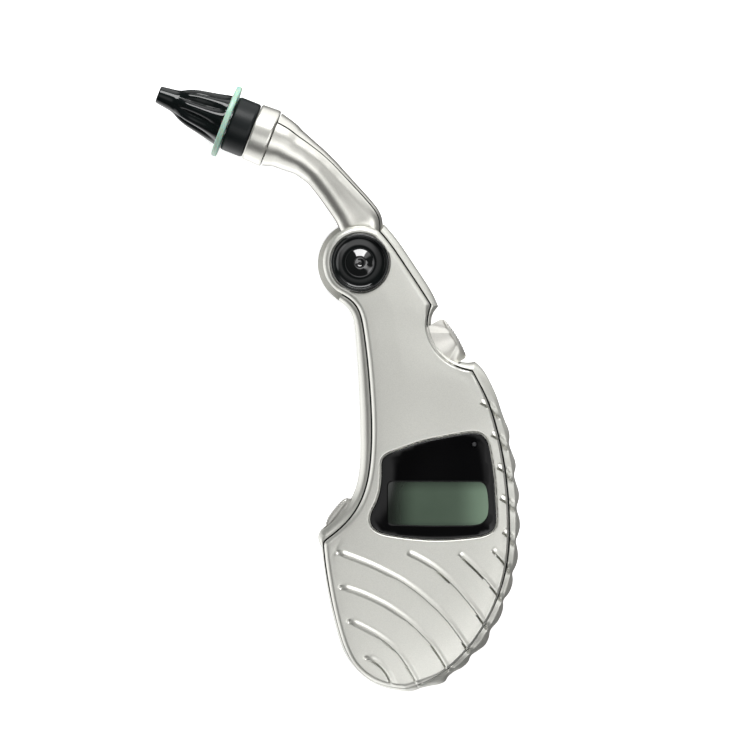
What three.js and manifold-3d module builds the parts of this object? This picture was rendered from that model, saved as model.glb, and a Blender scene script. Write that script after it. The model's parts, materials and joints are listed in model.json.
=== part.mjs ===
// Digital ear thermometer with a fold-down probe arm.
//
// Millimetres, +Z up. The thermometer lies on its flat back: +Z is the outward
// normal of the display, +Y runs from the rounded grip end to the knuckle that
// carries the arm, +X is to the right of the display. The origin is the middle
// of the overall footprint at the height of the back.
//
// The handle is a rear shell and a front shell that meet on a gently sloping
// parting plane. The arm is two half shells whose round root turns on a pin
// between the two cheeks of the knuckle. The probe is a stack of turned pieces
// on one slanted axis.

import * as THREE from 'three';
import { mergeVertices } from 'three/addons/utils/BufferGeometryUtils.js';
import Module from 'manifold-3d';

const wasm = await Module();
wasm.setup();

// ---------------------------------------------------------------- dimensions
const WALL = 2.0;              // casing wall
const GAP = 0.3;               // clearance between neighbouring pieces

const PIVOT = [7.36, 38.59];   // arm hinge, in the plan
const ARM_Z = 12.0;            // height of the arm's and the probe's middle plane
const HUB_R = 10.3;            // round root of the arm
const HUB_HALF = 5.0;          // half thickness of the root
const SLOT_Z = [6.7, 17.8];    // slot between the knuckle's cheeks
const SLOT_DEG = [57, 240];    // the side of the knuckle that is open
const PIN_R = 2.5;
const CAP_R = 9.0;             // black dished cap over the pin

const TIP = [-54.85, 90.83];   // middle of the probe's tip face, in the plan
const PROBE_DEG = 68.47;       // turn of the probe axis from +Y, about +Z
const RING_R = 11.56;          // ear stop ring
const BASE_R = 8.7;            // black base ring
const COLLAR_R = 9.2;          // silver collar

const PART_Z0 = 16.98;         // parting plane height at y = 0
const PART_SLOPE = -0.0284;    // and its slope along y
const BELLY_Z = 12;            // height up to which the sides keep full width

const BATTERY = [25, -60];     // coin cell
const CELL_R = 10, CELL_T = 3.2;
const BATTERY_CAP_R = 13.0;

const PCB_Z = [17.2, 18.8];
const WINDOW_Z = [25.45, 27.2];
const LCD = { x: [14.6, 48.0], y: [-44.0, -27.0], z: [22.6, 23.7] };
const APERTURE = { x: [15.5, 47.3], y: [-42.8, -28.3] };
const UNIT_BUTTON = [42.55, -17.52];

const SCAN = { at: [37.15, 15.5], out: [0.856, 0.517], along: [0.517, -0.856], z: [7.8, 15.7] };
const POWER = { at: [1.08, -39.85], out: [-0.743, 0.669], along: [0.669, 0.743], z: [7.4, 14.6] };

const SHELL_SCREWS = [[17.3, 20.8], [3.33, -53.48], [43.94, -63.39], [15.11, -85.09]];
const ARM_SCREWS = [[7.36, 31.3], [14.3, 36.1]];

// Height of the front face along y.
const FACE = [[-104, 24.6], [-97, 25.4], [-90, 26.05], [-80, 26.6], [-68, 26.92], [-54, 27], [-11, 27],
  [-4, 26.75], [4, 26.2], [12, 25.35], [20, 24.35], [27, 23.55], [33, 23.12], [40, 23], [64, 23]];

// Rear shell outline, in seven stretches between its corners: stem right side,
// button pocket, scalloped grip, grip end left side, lower left corner, stem
// left side, knuckle.
const REAR_OUTLINE = [
  [[14.8, 50.69], [16.82, 48.67], [18.68, 46.34], [20.38, 43.87], [22.09, 41.23], [23.79, 38.69], [25.44, 36.21], [27.11, 33.73], [28.75, 31.31], [30.24, 28.98], [31.23, 26.97], [31.7, 25.11]],
  [[31.7, 25.11], [30.36, 24.18], [29.62, 22.63], [29.28, 20.61], [29.37, 18.45], [29.99, 16.12], [31.14, 13.79], [32.78, 11.62], [34.8, 9.86], [37.12, 8.43], [39.45, 7.66], [41.46, 7.59], [43.01, 8.06]],
  [[43.01, 8.06], [44.72, 6.51], [46.27, 4.5], [47.45, 2.33], [48.5, 0.15], [49.77, -2.79], [50.92, -6.35], [52.16, -9.92], [53.34, -12.71], [53.8, -15.04], [53.61, -17.36], [54.33, -19.68], [55.35, -22.32], [55.69, -24.49], [55.16, -27.12], [55.72, -29.45], [56.53, -31.93], [56.68, -34.26], [55.94, -37.2], [56.34, -39.06], [56.9, -41.08], [56.96, -43.24], [56.4, -45.57], [55.72, -47.27], [55.97, -49.13], [56.37, -51.3], [56.25, -53.48], [55.47, -55.8], [54.58, -57.51], [54.79, -59.37], [54.48, -61.53], [53.46, -63.86], [51.85, -65.88], [51.82, -68.05], [51.26, -70.22], [50.05, -72.54], [47.82, -75.17], [47.35, -77.5], [46.11, -79.92], [44.04, -81.47], [41.77, -83.08], [40.94, -85.03], [38.92, -86.89], [36.6, -88.04], [34.64, -89.59], [33.81, -91.08], [31.76, -92.04], [29.06, -92.47], [26.27, -93.16], [24.41, -94.02], [22.24, -94.39]],
  [[22.24, -94.39], [19.76, -94.15], [16.97, -93.71], [13.87, -93.03], [11.08, -91.73], [8.14, -89.44], [5.35, -86.64], [3.18, -84.01], [1.57, -81.06], [0.64, -77.03], [-0.91, -71.45], [-2.19, -65.88], [-3.24, -59.67], [-4.11, -53.48], [-4.63, -49.6]],
  [[-4.63, -49.6], [-5.47, -47.83], [-5.72, -46.03], [-4.94, -44.39]],
  [[-4.94, -44.39], [-3.18, -42.94], [-1.01, -41.08], [1.16, -38.91], [3.33, -36.58], [4.88, -34.56], [5.81, -32.24], [6.53, -29.91], [7.05, -27.12], [7.36, -24.02], [7.46, -20], [7.46, -15.65], [7.39, -11.31], [7.27, -6.35], [7.05, -1.4], [6.8, 3.56], [6.49, 8.53], [6.18, 13.18], [5.91, 17.2], [5.56, 20.61], [5.13, 23.09], [4.36, 24.71], [2.87, 25.89], [0.7, 27.03]],
  [[0.7, 27.03], [-2.06, 29.17], [-4.17, 31.93], [-5.5, 35.15], [-5.97, 38.59], [-5.5, 42.04], [-4.17, 45.26], [-2.06, 48.02], [0.29, 49.88], [2.81, 51.12], [5.04, 51.71], [7.36, 51.92], [9.84, 51.77], [12.32, 51.37], [14.8, 50.69]],
];

// Front shell outline at the parting plane, in the same seven stretches.
const FRONT_OUTLINE = [
  [[13.1, 48.76], [14.8, 47.12], [16.66, 44.8], [18.52, 42.01], [20.38, 39.21], [22.24, 36.42], [24.1, 33.63], [25.96, 30.84], [27.82, 28.05], [29.31, 25.57]],
  [[29.31, 25.57], [28.54, 23.56], [28.01, 20.93], [27.98, 18.14], [28.69, 15.35], [29.99, 12.55], [31.85, 10.14], [34.33, 8.06], [37.12, 6.51], [39.6, 5.64], [42.18, 5.12]],
  [[42.18, 5.12], [44.56, 0.78], [46.73, -3.25], [48.03, -6.97], [49.21, -11.31], [50.39, -15.65], [51.38, -20.3], [52.16, -24.95], [52.78, -29.91], [53.24, -34.88], [53.46, -39.84], [53.55, -44.8], [53.49, -49.45], [52.93, -54.09], [52, -58.74], [50.76, -63.09], [49.06, -67.42], [47.04, -71.77], [44.56, -75.8], [41.77, -79.83], [38.36, -83.55], [34.95, -86.8], [31.54, -89.28], [28.13, -90.98], [24.41, -92.38], [21.31, -92.94]],
  [[21.31, -92.94], [17.59, -92.84], [13.87, -92.07], [10.31, -90.46], [7.21, -87.98], [4.57, -84.78], [2.62, -80.75], [1.22, -76.42], [-0.23, -70.83], [-1.47, -65.56], [-2.56, -59.67], [-3.49, -53.78], [-3.92, -48.83]],
  [[-3.92, -48.83], [-3.7, -47.74], [-2.71, -46.78]],
  [[-2.71, -46.78], [-1.01, -45.63], [1.78, -43.4], [4.26, -40.86], [6.43, -37.76], [7.98, -34.88], [9.13, -31.77], [10, -28.05], [10.62, -23.09], [10.93, -18.45], [11.02, -13.18], [10.87, -6.97], [10.46, -0.78], [10, 5.42], [9.53, 10.07], [8.91, 14.72], [8.29, 19.38], [7.67, 23.09], [7.05, 25.42], [5.97, 27.03], [4.26, 27.96], [2.09, 28.49], [0.23, 29.61]],
  [[0.23, 29.61], [-1.69, 31.25], [-3.18, 33.42], [-4.11, 35.96], [-4.42, 38.59], [-4.17, 41.23], [-3.33, 43.71], [-1.94, 45.88], [-0.08, 47.74], [2.09, 49.13], [4.57, 50.03], [7.36, 50.38], [10.15, 50.03], [13.1, 48.76]],
];
const STRETCH_STEPS = [6, 8, 52, 9, 3, 14, 12];

// Display window outline.
const WINDOW = [[13.87, -22.79], [14.18, -21.86], [15.11, -20.93], [16.66, -20.15], [19.76, -19.07], [25.96, -16.89], [32.16, -15.5], [38.36, -14.32], [40.84, -14.01], [43.01, -13.89], [44.56, -14.2], [45.8, -15.19], [46.73, -16.59], [47.35, -18.75], [48.28, -24.02], [48.69, -27.12], [49, -30.84], [49.43, -38.59], [49.52, -41.7], [49.06, -43.4], [47.66, -44.64], [45.49, -45.57], [43.01, -46.03], [38.36, -46.5], [33.71, -46.81], [29.06, -46.81], [24.41, -46.5], [19.76, -45.97], [15.11, -45.2], [12.94, -44.48], [11.39, -43.4], [10.46, -41.85], [10.31, -39.99], [10.77, -38.28], [11.7, -36.58], [12.63, -34.56], [13.35, -32.09], [13.72, -29.61], [13.87, -27.12]];

// Circuit board outline.
const BOARD = [[12.32, 16.27], [25.34, 16.27], [27.2, 11.01], [30.92, 6.35], [35.88, 2.94], [41.15, 0.78], [44.25, -5.12], [46.42, -12.55], [48.13, -20.93], [49.37, -30.23], [49.83, -39.52], [49.83, -48.83], [48.28, -55.34], [45.18, -59.05], [32.16, -62.4], [12, -62.4], [6.74, -54.5], [3.64, -50.38], [4.1, -46.5], [6.3, -42.6], [10.77, -38.59], [12.94, -33.02], [14.34, -25.57], [14.49, -13.18], [13.87, -0.78], [12.94, 10.07]];

// Arm centre line: x, y, half width in the plan, half depth.
const NECK = [[-20.0, 77.08, 8.68, 8.5], [-17.3, 75.95, 7.9, 8.1], [-14.65, 74.25, 7.1, 7.6], [-9.69, 71.24, 5.89, 6.9], [-5.19, 67.52, 5.52, 6.4],
  [-1.63, 63.49, 5.64, 6.2], [1.78, 59.27, 5.95, 6.1], [4.7, 55.5, 6.26, 5.9], [6.5, 52.6, 6.5, 4.9], [7.6, 50.6, 6.4, 4.85], [8.0, 48.2, 5.0, 4.85], [8.1, 45.5, 4.2, 4.85]];

// Raised grip ribs on the front face.
const RIBS = [
  [[0.54, -50.69], [5.81, -52.85], [10.46, -54.71], [15.11, -56.88], [19.76, -59.37], [25.96, -63.8], [32.16, -69.44], [35.26, -73.0], [38.36, -77.19]],
  [[1.47, -61.53], [7.36, -63.46], [13.56, -66.28], [19.76, -70.15], [25.96, -75.48], [31.54, -82.15], [32.9, -84.2]],
  [[3.95, -72.08], [8.91, -74.34], [15.11, -78.12], [19.76, -82.61], [23.0, -87.3]],
  [[9.22, -83.39], [12.94, -85.09], [15.4, -87.8]],
  [[21.62, -50.84], [27.51, -53.78], [33.71, -58.44], [39.91, -65.04], [43.9, -70.2]],
  [[37.43, -50.99], [43.01, -55.89], [48.0, -61.3]],
  [[47.82, -49.76], [50.9, -52.7]],
];

// ------------------------------------------------------------------- helpers
const faceZ = (y) => {
  for (let i = 1; i < FACE.length; i += 1) {
    const [y0, z0] = FACE[i - 1], [y1, z1] = FACE[i];
    if (y <= y1) return z0 + (z1 - z0) * Math.max(0, (y - y0) / (y1 - y0));
  }
  return FACE[FACE.length - 1][1];
};
const partZ = (y) => PART_Z0 + PART_SLOPE * y;

// Points all round an outline made of stretches, counter-clockwise.
function outline(stretches) {
  const out = [];
  stretches.forEach((stretch, i) => {
    const curve = new THREE.SplineCurve(stretch.map(([x, y]) => new THREE.Vector2(x, y)));
    curve.getSpacedPoints(STRETCH_STEPS[i]).slice(0, -1).forEach((p) => out.push([p.x, p.y]));
  });
  return THREE.ShapeUtils.area(out.map(([x, y]) => new THREE.Vector2(x, y))) > 0 ? out : out.reverse();
}

function distanceTo(poly, [px, py]) {
  let best = Infinity;
  for (let i = 0; i < poly.length; i += 1) {
    const [ax, ay] = poly[i], [bx, by] = poly[(i + 1) % poly.length];
    const dx = bx - ax, dy = by - ay;
    const t = Math.min(1, Math.max(0, ((px - ax) * dx + (py - ay) * dy) / (dx * dx + dy * dy || 1)));
    best = Math.min(best, Math.hypot(px - ax - t * dx, py - ay - t * dy));
  }
  return best;
}

// An outline moved inwards by d, point for point; points that would cross over
// at a tight corner are spread evenly between their good neighbours.
function inset(poly, d) {
  const n = poly.length;
  const moved = poly.map(([x, y], i) => {
    const [ax, ay] = poly[(i + n - 1) % n], [bx, by] = poly[(i + 1) % n];
    const l = Math.hypot(bx - ax, by - ay) || 1;
    return [x - (by - ay) / l * d, y + (bx - ax) / l * d];
  });
  const good = moved.map((p) => distanceTo(poly, p) > Math.abs(d) * 0.95 - 1e-6);
  const start = good.indexOf(true);
  for (let k = 1; k <= n; k += 1) {
    const i = (start + k) % n;
    if (good[i]) continue;
    let run = 1;
    while (!good[(i + run) % n]) run += 1;
    const a = moved[(i + n - 1) % n], b = moved[(i + run) % n];
    for (let j = 0; j < run; j += 1) {
      const t = (j + 1) / (run + 1), bow = 0.06 * t * (1 - t) * Math.sign(d);
      moved[(i + j) % n] = [a[0] + (b[0] - a[0]) * t + (b[1] - a[1]) * bow, a[1] + (b[1] - a[1]) * t - (b[0] - a[0]) * bow];
      good[(i + j) % n] = true;
    }
    k += run - 1;
  }
  return moved;
}

// A closed solid through a stack of rings; each ring is a list of [x, y, z] and
// the cap on each end is triangulated in the plane given by flat().
function loft(rings, flat = ([x, y]) => new THREE.Vector2(x, y)) {
  const n = rings[0].length, position = [], index = [];
  rings.forEach((ring) => ring.forEach((p) => position.push(p[0], p[1], p[2])));
  for (let k = 0; k + 1 < rings.length; k += 1) {
    for (let i = 0; i < n; i += 1) {
      const j = (i + 1) % n, a = k * n + i, b = k * n + j, c = a + n, d = b + n;
      index.push(a, b, d, a, d, c);
    }
  }
  [0, rings.length - 1].forEach((k) => {
    const points = rings[k].map(flat);
    // Straight runs of points are bowed a hair so that none is skipped.
    let faces = [];
    for (let bow = 0; faces.length !== n - 2 && bow < 6; bow += 1) {
      const eased = points.map((p, i) => {
        const a = points[(i + n - 1) % n], b = points[(i + 1) % n];
        const l = Math.hypot(b.x - a.x, b.y - a.y) || 1, e = bow * 2e-4 * (1 + 0.37 * (i % 5));
        return new THREE.Vector2(p.x + (b.y - a.y) / l * e, p.y - (b.x - a.x) / l * e);
      });
      faces = THREE.ShapeUtils.triangulateShape(eased, []);
    }
    let used = points;
    if (faces.length !== n - 2) {
      used = rings[rings.length - 1 - k].map(flat);
      faces = THREE.ShapeUtils.triangulateShape(used, []);
    }
    if (faces.length !== n - 2) throw new Error('cap does not close');
    const turn = faces.reduce((sum, [a, b, c]) => sum + THREE.ShapeUtils.area([used[a], used[b], used[c]]), 0);
    faces.forEach(([a, b, c]) => {
      const up = (turn > 0) === (k > 0);
      index.push(k * n + a, k * n + (up ? b : c), k * n + (up ? c : b));
    });
  });
  const g = new THREE.BufferGeometry();
  g.setAttribute('position', new THREE.BufferAttribute(new Float32Array(position), 3));
  g.setIndex(index);
  g.userData.closed = true;
  return g;
}

const ring = (poly, z) => poly.map(([x, y]) => [x, y, typeof z === 'function' ? z(y) : z]);

function solid(geometry) {
  const g = geometry.clone();
  g.deleteAttribute('normal');
  g.deleteAttribute('uv');
  const merged = g.userData.closed ? g : mergeVertices(g, 1e-5);
  return new wasm.Manifold(new wasm.Mesh({
    numProp: 3,
    vertProperties: new Float32Array(merged.attributes.position.array),
    triVerts: new Uint32Array(merged.index.array),
  }));
}

// The main body of a solid, without slivers that a cut may leave.
function fromSolid(manifold) {
  const mesh = manifold.decompose().sort((a, b) => b.volume() - a.volume())[0].getMesh();
  const g = new THREE.BufferGeometry();
  g.setAttribute('position', new THREE.BufferAttribute(new Float32Array(mesh.vertProperties), 3));
  g.setIndex(new THREE.BufferAttribute(new Uint32Array(mesh.triVerts), 1));
  return g;
}

const shape = (points) => new THREE.Shape(points.map(([x, y]) => new THREE.Vector2(x, y)));
const prism = (points, z0, z1) => new THREE.ExtrudeGeometry(shape(points), { depth: z1 - z0, bevelEnabled: false }).translate(0, 0, z0);
const block = (x0, x1, y0, y1, z0, z1) => new THREE.BoxGeometry(x1 - x0, y1 - y0, z1 - z0).translate((x0 + x1) / 2, (y0 + y1) / 2, (z0 + z1) / 2);
const turned = (profile, steps) => new THREE.LatheGeometry(profile.map(([r, z]) => new THREE.Vector2(r, z)), steps).rotateX(Math.PI / 2);
const disc = (x, y, r, z0, z1, steps = 28) => turned([[0, z0], [r, z0], [r, z1], [0, z1]], steps).translate(x, y, 0);

// A profile in x and z, drawn out along y.
const alongY = (points, y0, y1) => new THREE.ExtrudeGeometry(shape(points), { depth: y1 - y0, bevelEnabled: false }).rotateX(Math.PI / 2).translate(0, y1, 0);

// A block in the plan frame of a button: out is away from the casing.
const place = (f, u, v) => [f.at[0] + u * f.out[0] + v * f.along[0], f.at[1] + u * f.out[1] + v * f.along[1]];
const buttonPrism = (f, points, z0, z1) => prism(points.map(([u, v]) => place(f, u, v)), z0, z1);

// A round bar of radius r along a list of points.
function bar(points, r, sides = 8, steps = 2) {
  const path = new THREE.CatmullRomCurve3(points.map((p) => new THREE.Vector3(...p)));
  const section = [];
  for (let i = 0; i < sides; i += 1) {
    const a = (i / sides) * 2 * Math.PI;
    section.push([r * Math.cos(a), r * Math.sin(a)]);
  }
  return new THREE.ExtrudeGeometry(shape(section), { steps: (points.length - 1) * steps, bevelEnabled: false, extrudePath: path });
}

// Everything below the front face, lowered by drop.
function underFace(drop) {
  const points = FACE.map(([y, z]) => [y, z - drop]);
  const profile = [[-104, -5], [64, -5], ...points.reverse()];
  return solid(new THREE.ExtrudeGeometry(shape(profile), { depth: 200, bevelEnabled: false })
    .applyMatrix4(new THREE.Matrix4().set(0, 0, 1, -80, 1, 0, 0, 0, 0, 1, 0, 0, 0, 0, 0, 1)));
}

// ------------------------------------------------------------------ assembly
const model = new THREE.Group();
const FINISHES = {
  silver: { color: 0xd3cfc3, roughness: 0.38, metalness: 0.55 },
  black: { color: 0x0d0f10, roughness: 0.15, metalness: 0 },
  blackSatin: { color: 0x17191a, roughness: 0.4, metalness: 0 },
  mint: { color: 0x9cc9b4, roughness: 0.35, metalness: 0 },
  lcd: { color: 0x55605a, roughness: 0.3, metalness: 0 },
  board: { color: 0x1f5c37, roughness: 0.5, metalness: 0 },
  chip: { color: 0x1b1b1d, roughness: 0.5, metalness: 0 },
  steel: { color: 0xb8babd, roughness: 0.3, metalness: 1 },
  rubber: { color: 0x2a2a2c, roughness: 0.8, metalness: 0 },
  ivory: { color: 0xd8d4c8, roughness: 0.5, metalness: 0 },
  lead: { color: 0x303236, roughness: 0.6, metalness: 0 },
};
function add(name, geometry, finish, parent = model) {
  geometry.computeVertexNormals();
  const mesh = new THREE.Mesh(geometry, new THREE.MeshStandardMaterial(FINISHES[finish]));
  mesh.name = name;
  parent.add(mesh);
  return mesh;
}

const rear = outline(REAR_OUTLINE);
const front = outline(FRONT_OUTLINE);
const lerp = (a, b, t) => a.map((p, i) => [p[0] + (b[i][0] - p[0]) * t, p[1] + (b[i][1] - p[1]) * t]);
const half = (poly) => poly.filter((p, i) => i % 2 === 0);

// Slot in the knuckle that the arm's root turns in.
function slotCut() {
  const fan = [[...PIVOT]];
  for (let i = 0; i <= 12; i += 1) {
    const a = THREE.MathUtils.degToRad(SLOT_DEG[0] + (SLOT_DEG[1] - SLOT_DEG[0]) * i / 12);
    fan.push([PIVOT[0] + 24 * Math.cos(a), PIVOT[1] + 24 * Math.sin(a)]);
  }
  return solid(prism(fan, ...SLOT_Z)).add(solid(disc(...PIVOT, HUB_R + GAP, ...SLOT_Z, 32)));
}
const beforeKnuckle = solid(block(-40, 80, -120, 25, -5, 60));

// Openings that the two side buttons work in.
const scanCut = solid(buttonPrism(SCAN, [[-11, -7.9], [6, -7.9], [6, 7.5], [-11, 7.5]], SCAN.z[0] - GAP, SCAN.z[1] + GAP));
const powerCut = solid(buttonPrism(POWER, [[-6.5, -6.2], [5, -6.2], [5, 6.5], [-6.5, 6.5]], POWER.z[0] - GAP, POWER.z[1] + GAP));

// ---- rear shell
{
  const side = (y) => BELLY_Z + 0.6 * (partZ(y) - BELLY_Z);
  let s = solid(loft([
    ring(inset(rear, 4.2), 0), ring(inset(rear, 2.2), 0.9), ring(inset(rear, 0.7), 3.2),
    ring(rear, 7), ring(rear, BELLY_Z), ring(lerp(rear, front, 0.36), side),
    ring(inset(front, -0.1), (y) => partZ(y) - GAP / 2),
  ]));
  const hollow = solid(loft([
    ring(half(inset(rear, 5.0)), 2.2), ring(half(inset(rear, 2.3)), 6),
    ring(half(inset(rear, WALL)), BELLY_Z), ring(half(inset(front, WALL)), (y) => partZ(y) - GAP / 2), ring(half(inset(front, WALL)), 26),
  ])).intersect(beforeKnuckle);
  s = s.subtract(hollow);
  s = s.add(solid(disc(...BATTERY, 15.4, 0.5, 4.4, 32))).add(solid(disc(...BATTERY, 13.2, 3, 8.5, 32)));
  SHELL_SCREWS.forEach(([x, y]) => { s = s.add(solid(disc(x, y, 3.4, 0.5, 11.8, 14))); });
  s = s.subtract(slotCut()).subtract(scanCut).subtract(powerCut);
  s = s.subtract(solid(disc(...BATTERY, BATTERY_CAP_R + GAP, -2, 2.9, 32)))
    .subtract(solid(disc(...BATTERY, 12.9, 2, 4.1, 32))).subtract(solid(disc(...BATTERY, 11.2, 2, 10, 32)));
  SHELL_SCREWS.forEach(([x, y]) => {
    s = s.subtract(solid(disc(x, y, 2.5, -2, 2.4, 14))).subtract(solid(disc(x, y, 1.35, 1, 14, 12)));
  });
  s = s.subtract(solid(disc(...PIVOT, PIN_R + 0.12, 2.7, 8, 28)));
  // Passage for the sensor lead between the handle and the knuckle.
  s = s.subtract(solid(bar([[8.4, 23, 12], [8.4, 26, 12], [8.4, 30, 12]], 1.6, 10, 1)));
  add('rear_shell', fromSolid(s), 'silver');
}

// ---- front shell
{
  const up = (d) => (y) => faceZ(y) + d;
  let s = solid(loft([
    ring(front, (y) => partZ(y) + GAP / 2), ring(inset(front, 0.1), up(-3.6)), ring(inset(front, 0.35), up(-2.0)),
    ring(inset(front, 0.85), up(-0.85)), ring(inset(front, 1.5), up(-0.2)), ring(inset(front, 2.0), up(0.5)),
  ])).intersect(underFace(0));
  RIBS.forEach((rib) => {
    s = s.add(solid(bar(rib.map(([x, y]) => [x, y, faceZ(y) - 0.3]), 0.95, 6, 1)));
  });
  const hollow = solid(loft([
    ring(half(inset(front, WALL)), 8), ring(half(inset(front, WALL + 0.2)), up(-3.6)), ring(half(inset(front, WALL + 1.2)), up(-1)),
  ])).intersect(beforeKnuckle).intersect(underFace(WALL));
  s = s.subtract(hollow);
  SHELL_SCREWS.forEach(([x, y]) => { s = s.add(solid(disc(x, y, 2.9, 12.1, faceZ(y) - 1, 14))); });
  s = s.subtract(slotCut());
  s = s.subtract(solid(prism(inset(WINDOW.slice().reverse(), -0.25).reverse(), WINDOW_Z[0] - 0.15, 32)));
  s = s.subtract(solid(block(APERTURE.x[0], APERTURE.x[1], APERTURE.y[0], APERTURE.y[1], 20, 30)));
  s = s.subtract(solid(disc(...UNIT_BUTTON, 1.15, 20, 30, 16)));
  SHELL_SCREWS.forEach(([x, y]) => { s = s.subtract(solid(disc(x, y, 1.25, 10, 21.5, 12))); });
  s = s.subtract(solid(disc(...PIVOT, CAP_R + 0.25, 21.2, 30, 28))).subtract(solid(disc(...PIVOT, PIN_R + 0.12, 15, 25, 28)));
  s = s.subtract(scanCut);
  add('front_shell', fromSolid(s), 'silver');
}

// ---- display
{
  const plate = solid(prism(inset(WINDOW.slice().reverse(), 0.1).reverse(), ...WINDOW_Z));
  add('display_window', fromSolid(plate.subtract(solid(disc(...UNIT_BUTTON, 1.0, 20, 30, 16)))), 'black');
  add('lcd_glass', block(...LCD.x, ...LCD.y, ...LCD.z), 'lcd');
  const holder = solid(block(13.3, 48.9, -45.3, -25.7, 19.0, 24.2))
    .subtract(solid(block(14.3, 48.3, -44.3, -26.7, 18, 26)));
  add('lcd_holder', fromSolid(holder), 'ivory');
  add('zebra_strip', block(16.0, 46.6, -43.6, -41.4, 19.1, 22.3), 'rubber');
  add('backlight_plate', block(16.0, 46.6, -40.6, -27.6, 20.6, 22.3), 'ivory');
}

// ---- circuit board and what is on it
{
  let s = solid(prism(BOARD, ...PCB_Z));
  SHELL_SCREWS.forEach(([x, y]) => { s = s.subtract(solid(disc(x, y, 3.3, 15, 21, 20))); });
  add('main_board', fromSolid(s), 'board');
  add('microcontroller', block(24, 34, -37, -27, 15.8, 17.0), 'chip');
  add('buzzer', disc(27.5, -13, 6.2, 12.6, 17.0, 28), 'chip');
  add('scan_switch', buttonPrism(SCAN, [[-14.1, -3], [-10.6, -3], [-10.6, 3], [-14.1, 3]], 13.2, 17.0), 'chip');
  add('power_switch', buttonPrism(POWER, [[-8.9, -3], [-5.4, -3], [-5.4, 3], [-8.9, 3]], 12.0, 17.0), 'chip');
  add('unit_switch', block(UNIT_BUTTON[0] - 2.2, UNIT_BUTTON[0] + 2.2, UNIT_BUTTON[1] - 2.2, UNIT_BUTTON[1] + 2.2, 19.0, 20.6), 'chip');
}

// ---- battery
{
  const [bx, by] = BATTERY;
  add('coin_cell', turned([[0, 3.4], [CELL_R - 0.3, 3.4], [CELL_R, 3.7], [CELL_R, 3.4 + CELL_T], [0, 3.4 + CELL_T]], 28).translate(bx, by, 0), 'steel');
  add('battery_contact_minus', alongY([[25, 17.0], [25, 6.9], [31, 6.9], [31, 7.3], [25.4, 7.3], [25.4, 17.0]], by - 1.5, by + 1.5), 'steel');
  add('battery_contact_plus', alongY([[14.25, 17.0], [14.25, 3.6], [14.65, 3.6], [14.65, 17.0]], by - 1.4, by + 1.4), 'steel');
  const cap = solid(turned([[0, 0.25], [BATTERY_CAP_R - 0.4, 0.25], [BATTERY_CAP_R, 0.6], [BATTERY_CAP_R, 2.6], [0, 2.6]], 32).translate(bx, by, 0))
    .subtract(solid(block(bx - 8.5, bx + 8.5, by - 0.9, by + 0.9, -1, 1.5)));
  add('battery_cap', fromSolid(cap), 'silver');
  const seal = [];
  for (let i = 0; i <= 6; i += 1) {
    const a = (i / 6) * 2 * Math.PI;
    seal.push([12.1 + 0.5 * Math.cos(a), 3.45 + 0.5 * Math.sin(a)]);
  }
  seal[6] = [...seal[0]];
  add('battery_cap_seal', turned(seal, 24).translate(bx, by, 0), 'rubber');
}

// ---- fasteners
SHELL_SCREWS.forEach(([x, y], i) => {
  add(`shell_screw_${i + 1}`, turned([[0, 1.5], [0.9, 0.7], [2.15, 0.9], [2.15, 2.1], [1.1, 2.1], [1.1, 19.8], [0, 20.4]], 12).translate(x, y, 0), 'steel');
});

// ---- pivot
add('pivot_pin', disc(...PIVOT, PIN_R, 3.0, 21.0, 28), 'steel').name = 'pivot_pin';
add('friction_washer', turned([[3.0, 17.1], [7.5, 17.1], [7.5, 17.6], [3.0, 17.6], [3.0, 17.1]], 32).translate(...PIVOT, 0), 'steel');
add('pivot_cap', turned([[0, 21.4], [CAP_R - 0.3, 21.4], [CAP_R, 21.8], [CAP_R, 23.6], [8.4, 24.2], [7.6, 24.0], [6.4, 23.0],
  [4.4, 22.8], [4.0, 23.7], [3.0, 24.8], [0, 25.2]], 28).translate(...PIVOT, 0), 'black');

// ---- side and unit buttons
{
  const grip = [];
  for (let i = 0; i <= 28; i += 1) {
    const v = -7.6 + 14.8 * i / 28;
    grip.push([0.35 - 0.012 * v * v + (i % 4 < 2 ? 0.22 : -0.22), v]);
  }
  add('scan_button', buttonPrism(SCAN, [[-9, 7.2], [-9, -7.6], ...grip].reverse(), ...SCAN.z), 'silver');
  add('power_button', buttonPrism(POWER, [[-4, 6.2], [-4, -5.9], [0.5, -5.9], [1.7, -4.5], [2.5, -2.4], [2.75, 0.8], [2.75, 4.2], [2.3, 5.4], [1.3, 6.2]].reverse(), ...POWER.z), 'silver');
  add('unit_button', turned([[0, 20.9], [0.8, 20.9], [0.8, 27.0], [0.6, 27.15], [0, 27.15]], 16).translate(...UNIT_BUTTON, 0), 'ivory');
}

// ---- sensor lead in the handle
add('sensor_lead_handle', bar([[14.6, 13.0, 15.9], [13.6, 17.0, 14.6], [10.2, 21.2, 12.5], [8.5, 24.2, 12.0], [8.4, 27.6, 12.0]], 0.9, 8, 3), 'lead');

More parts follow.
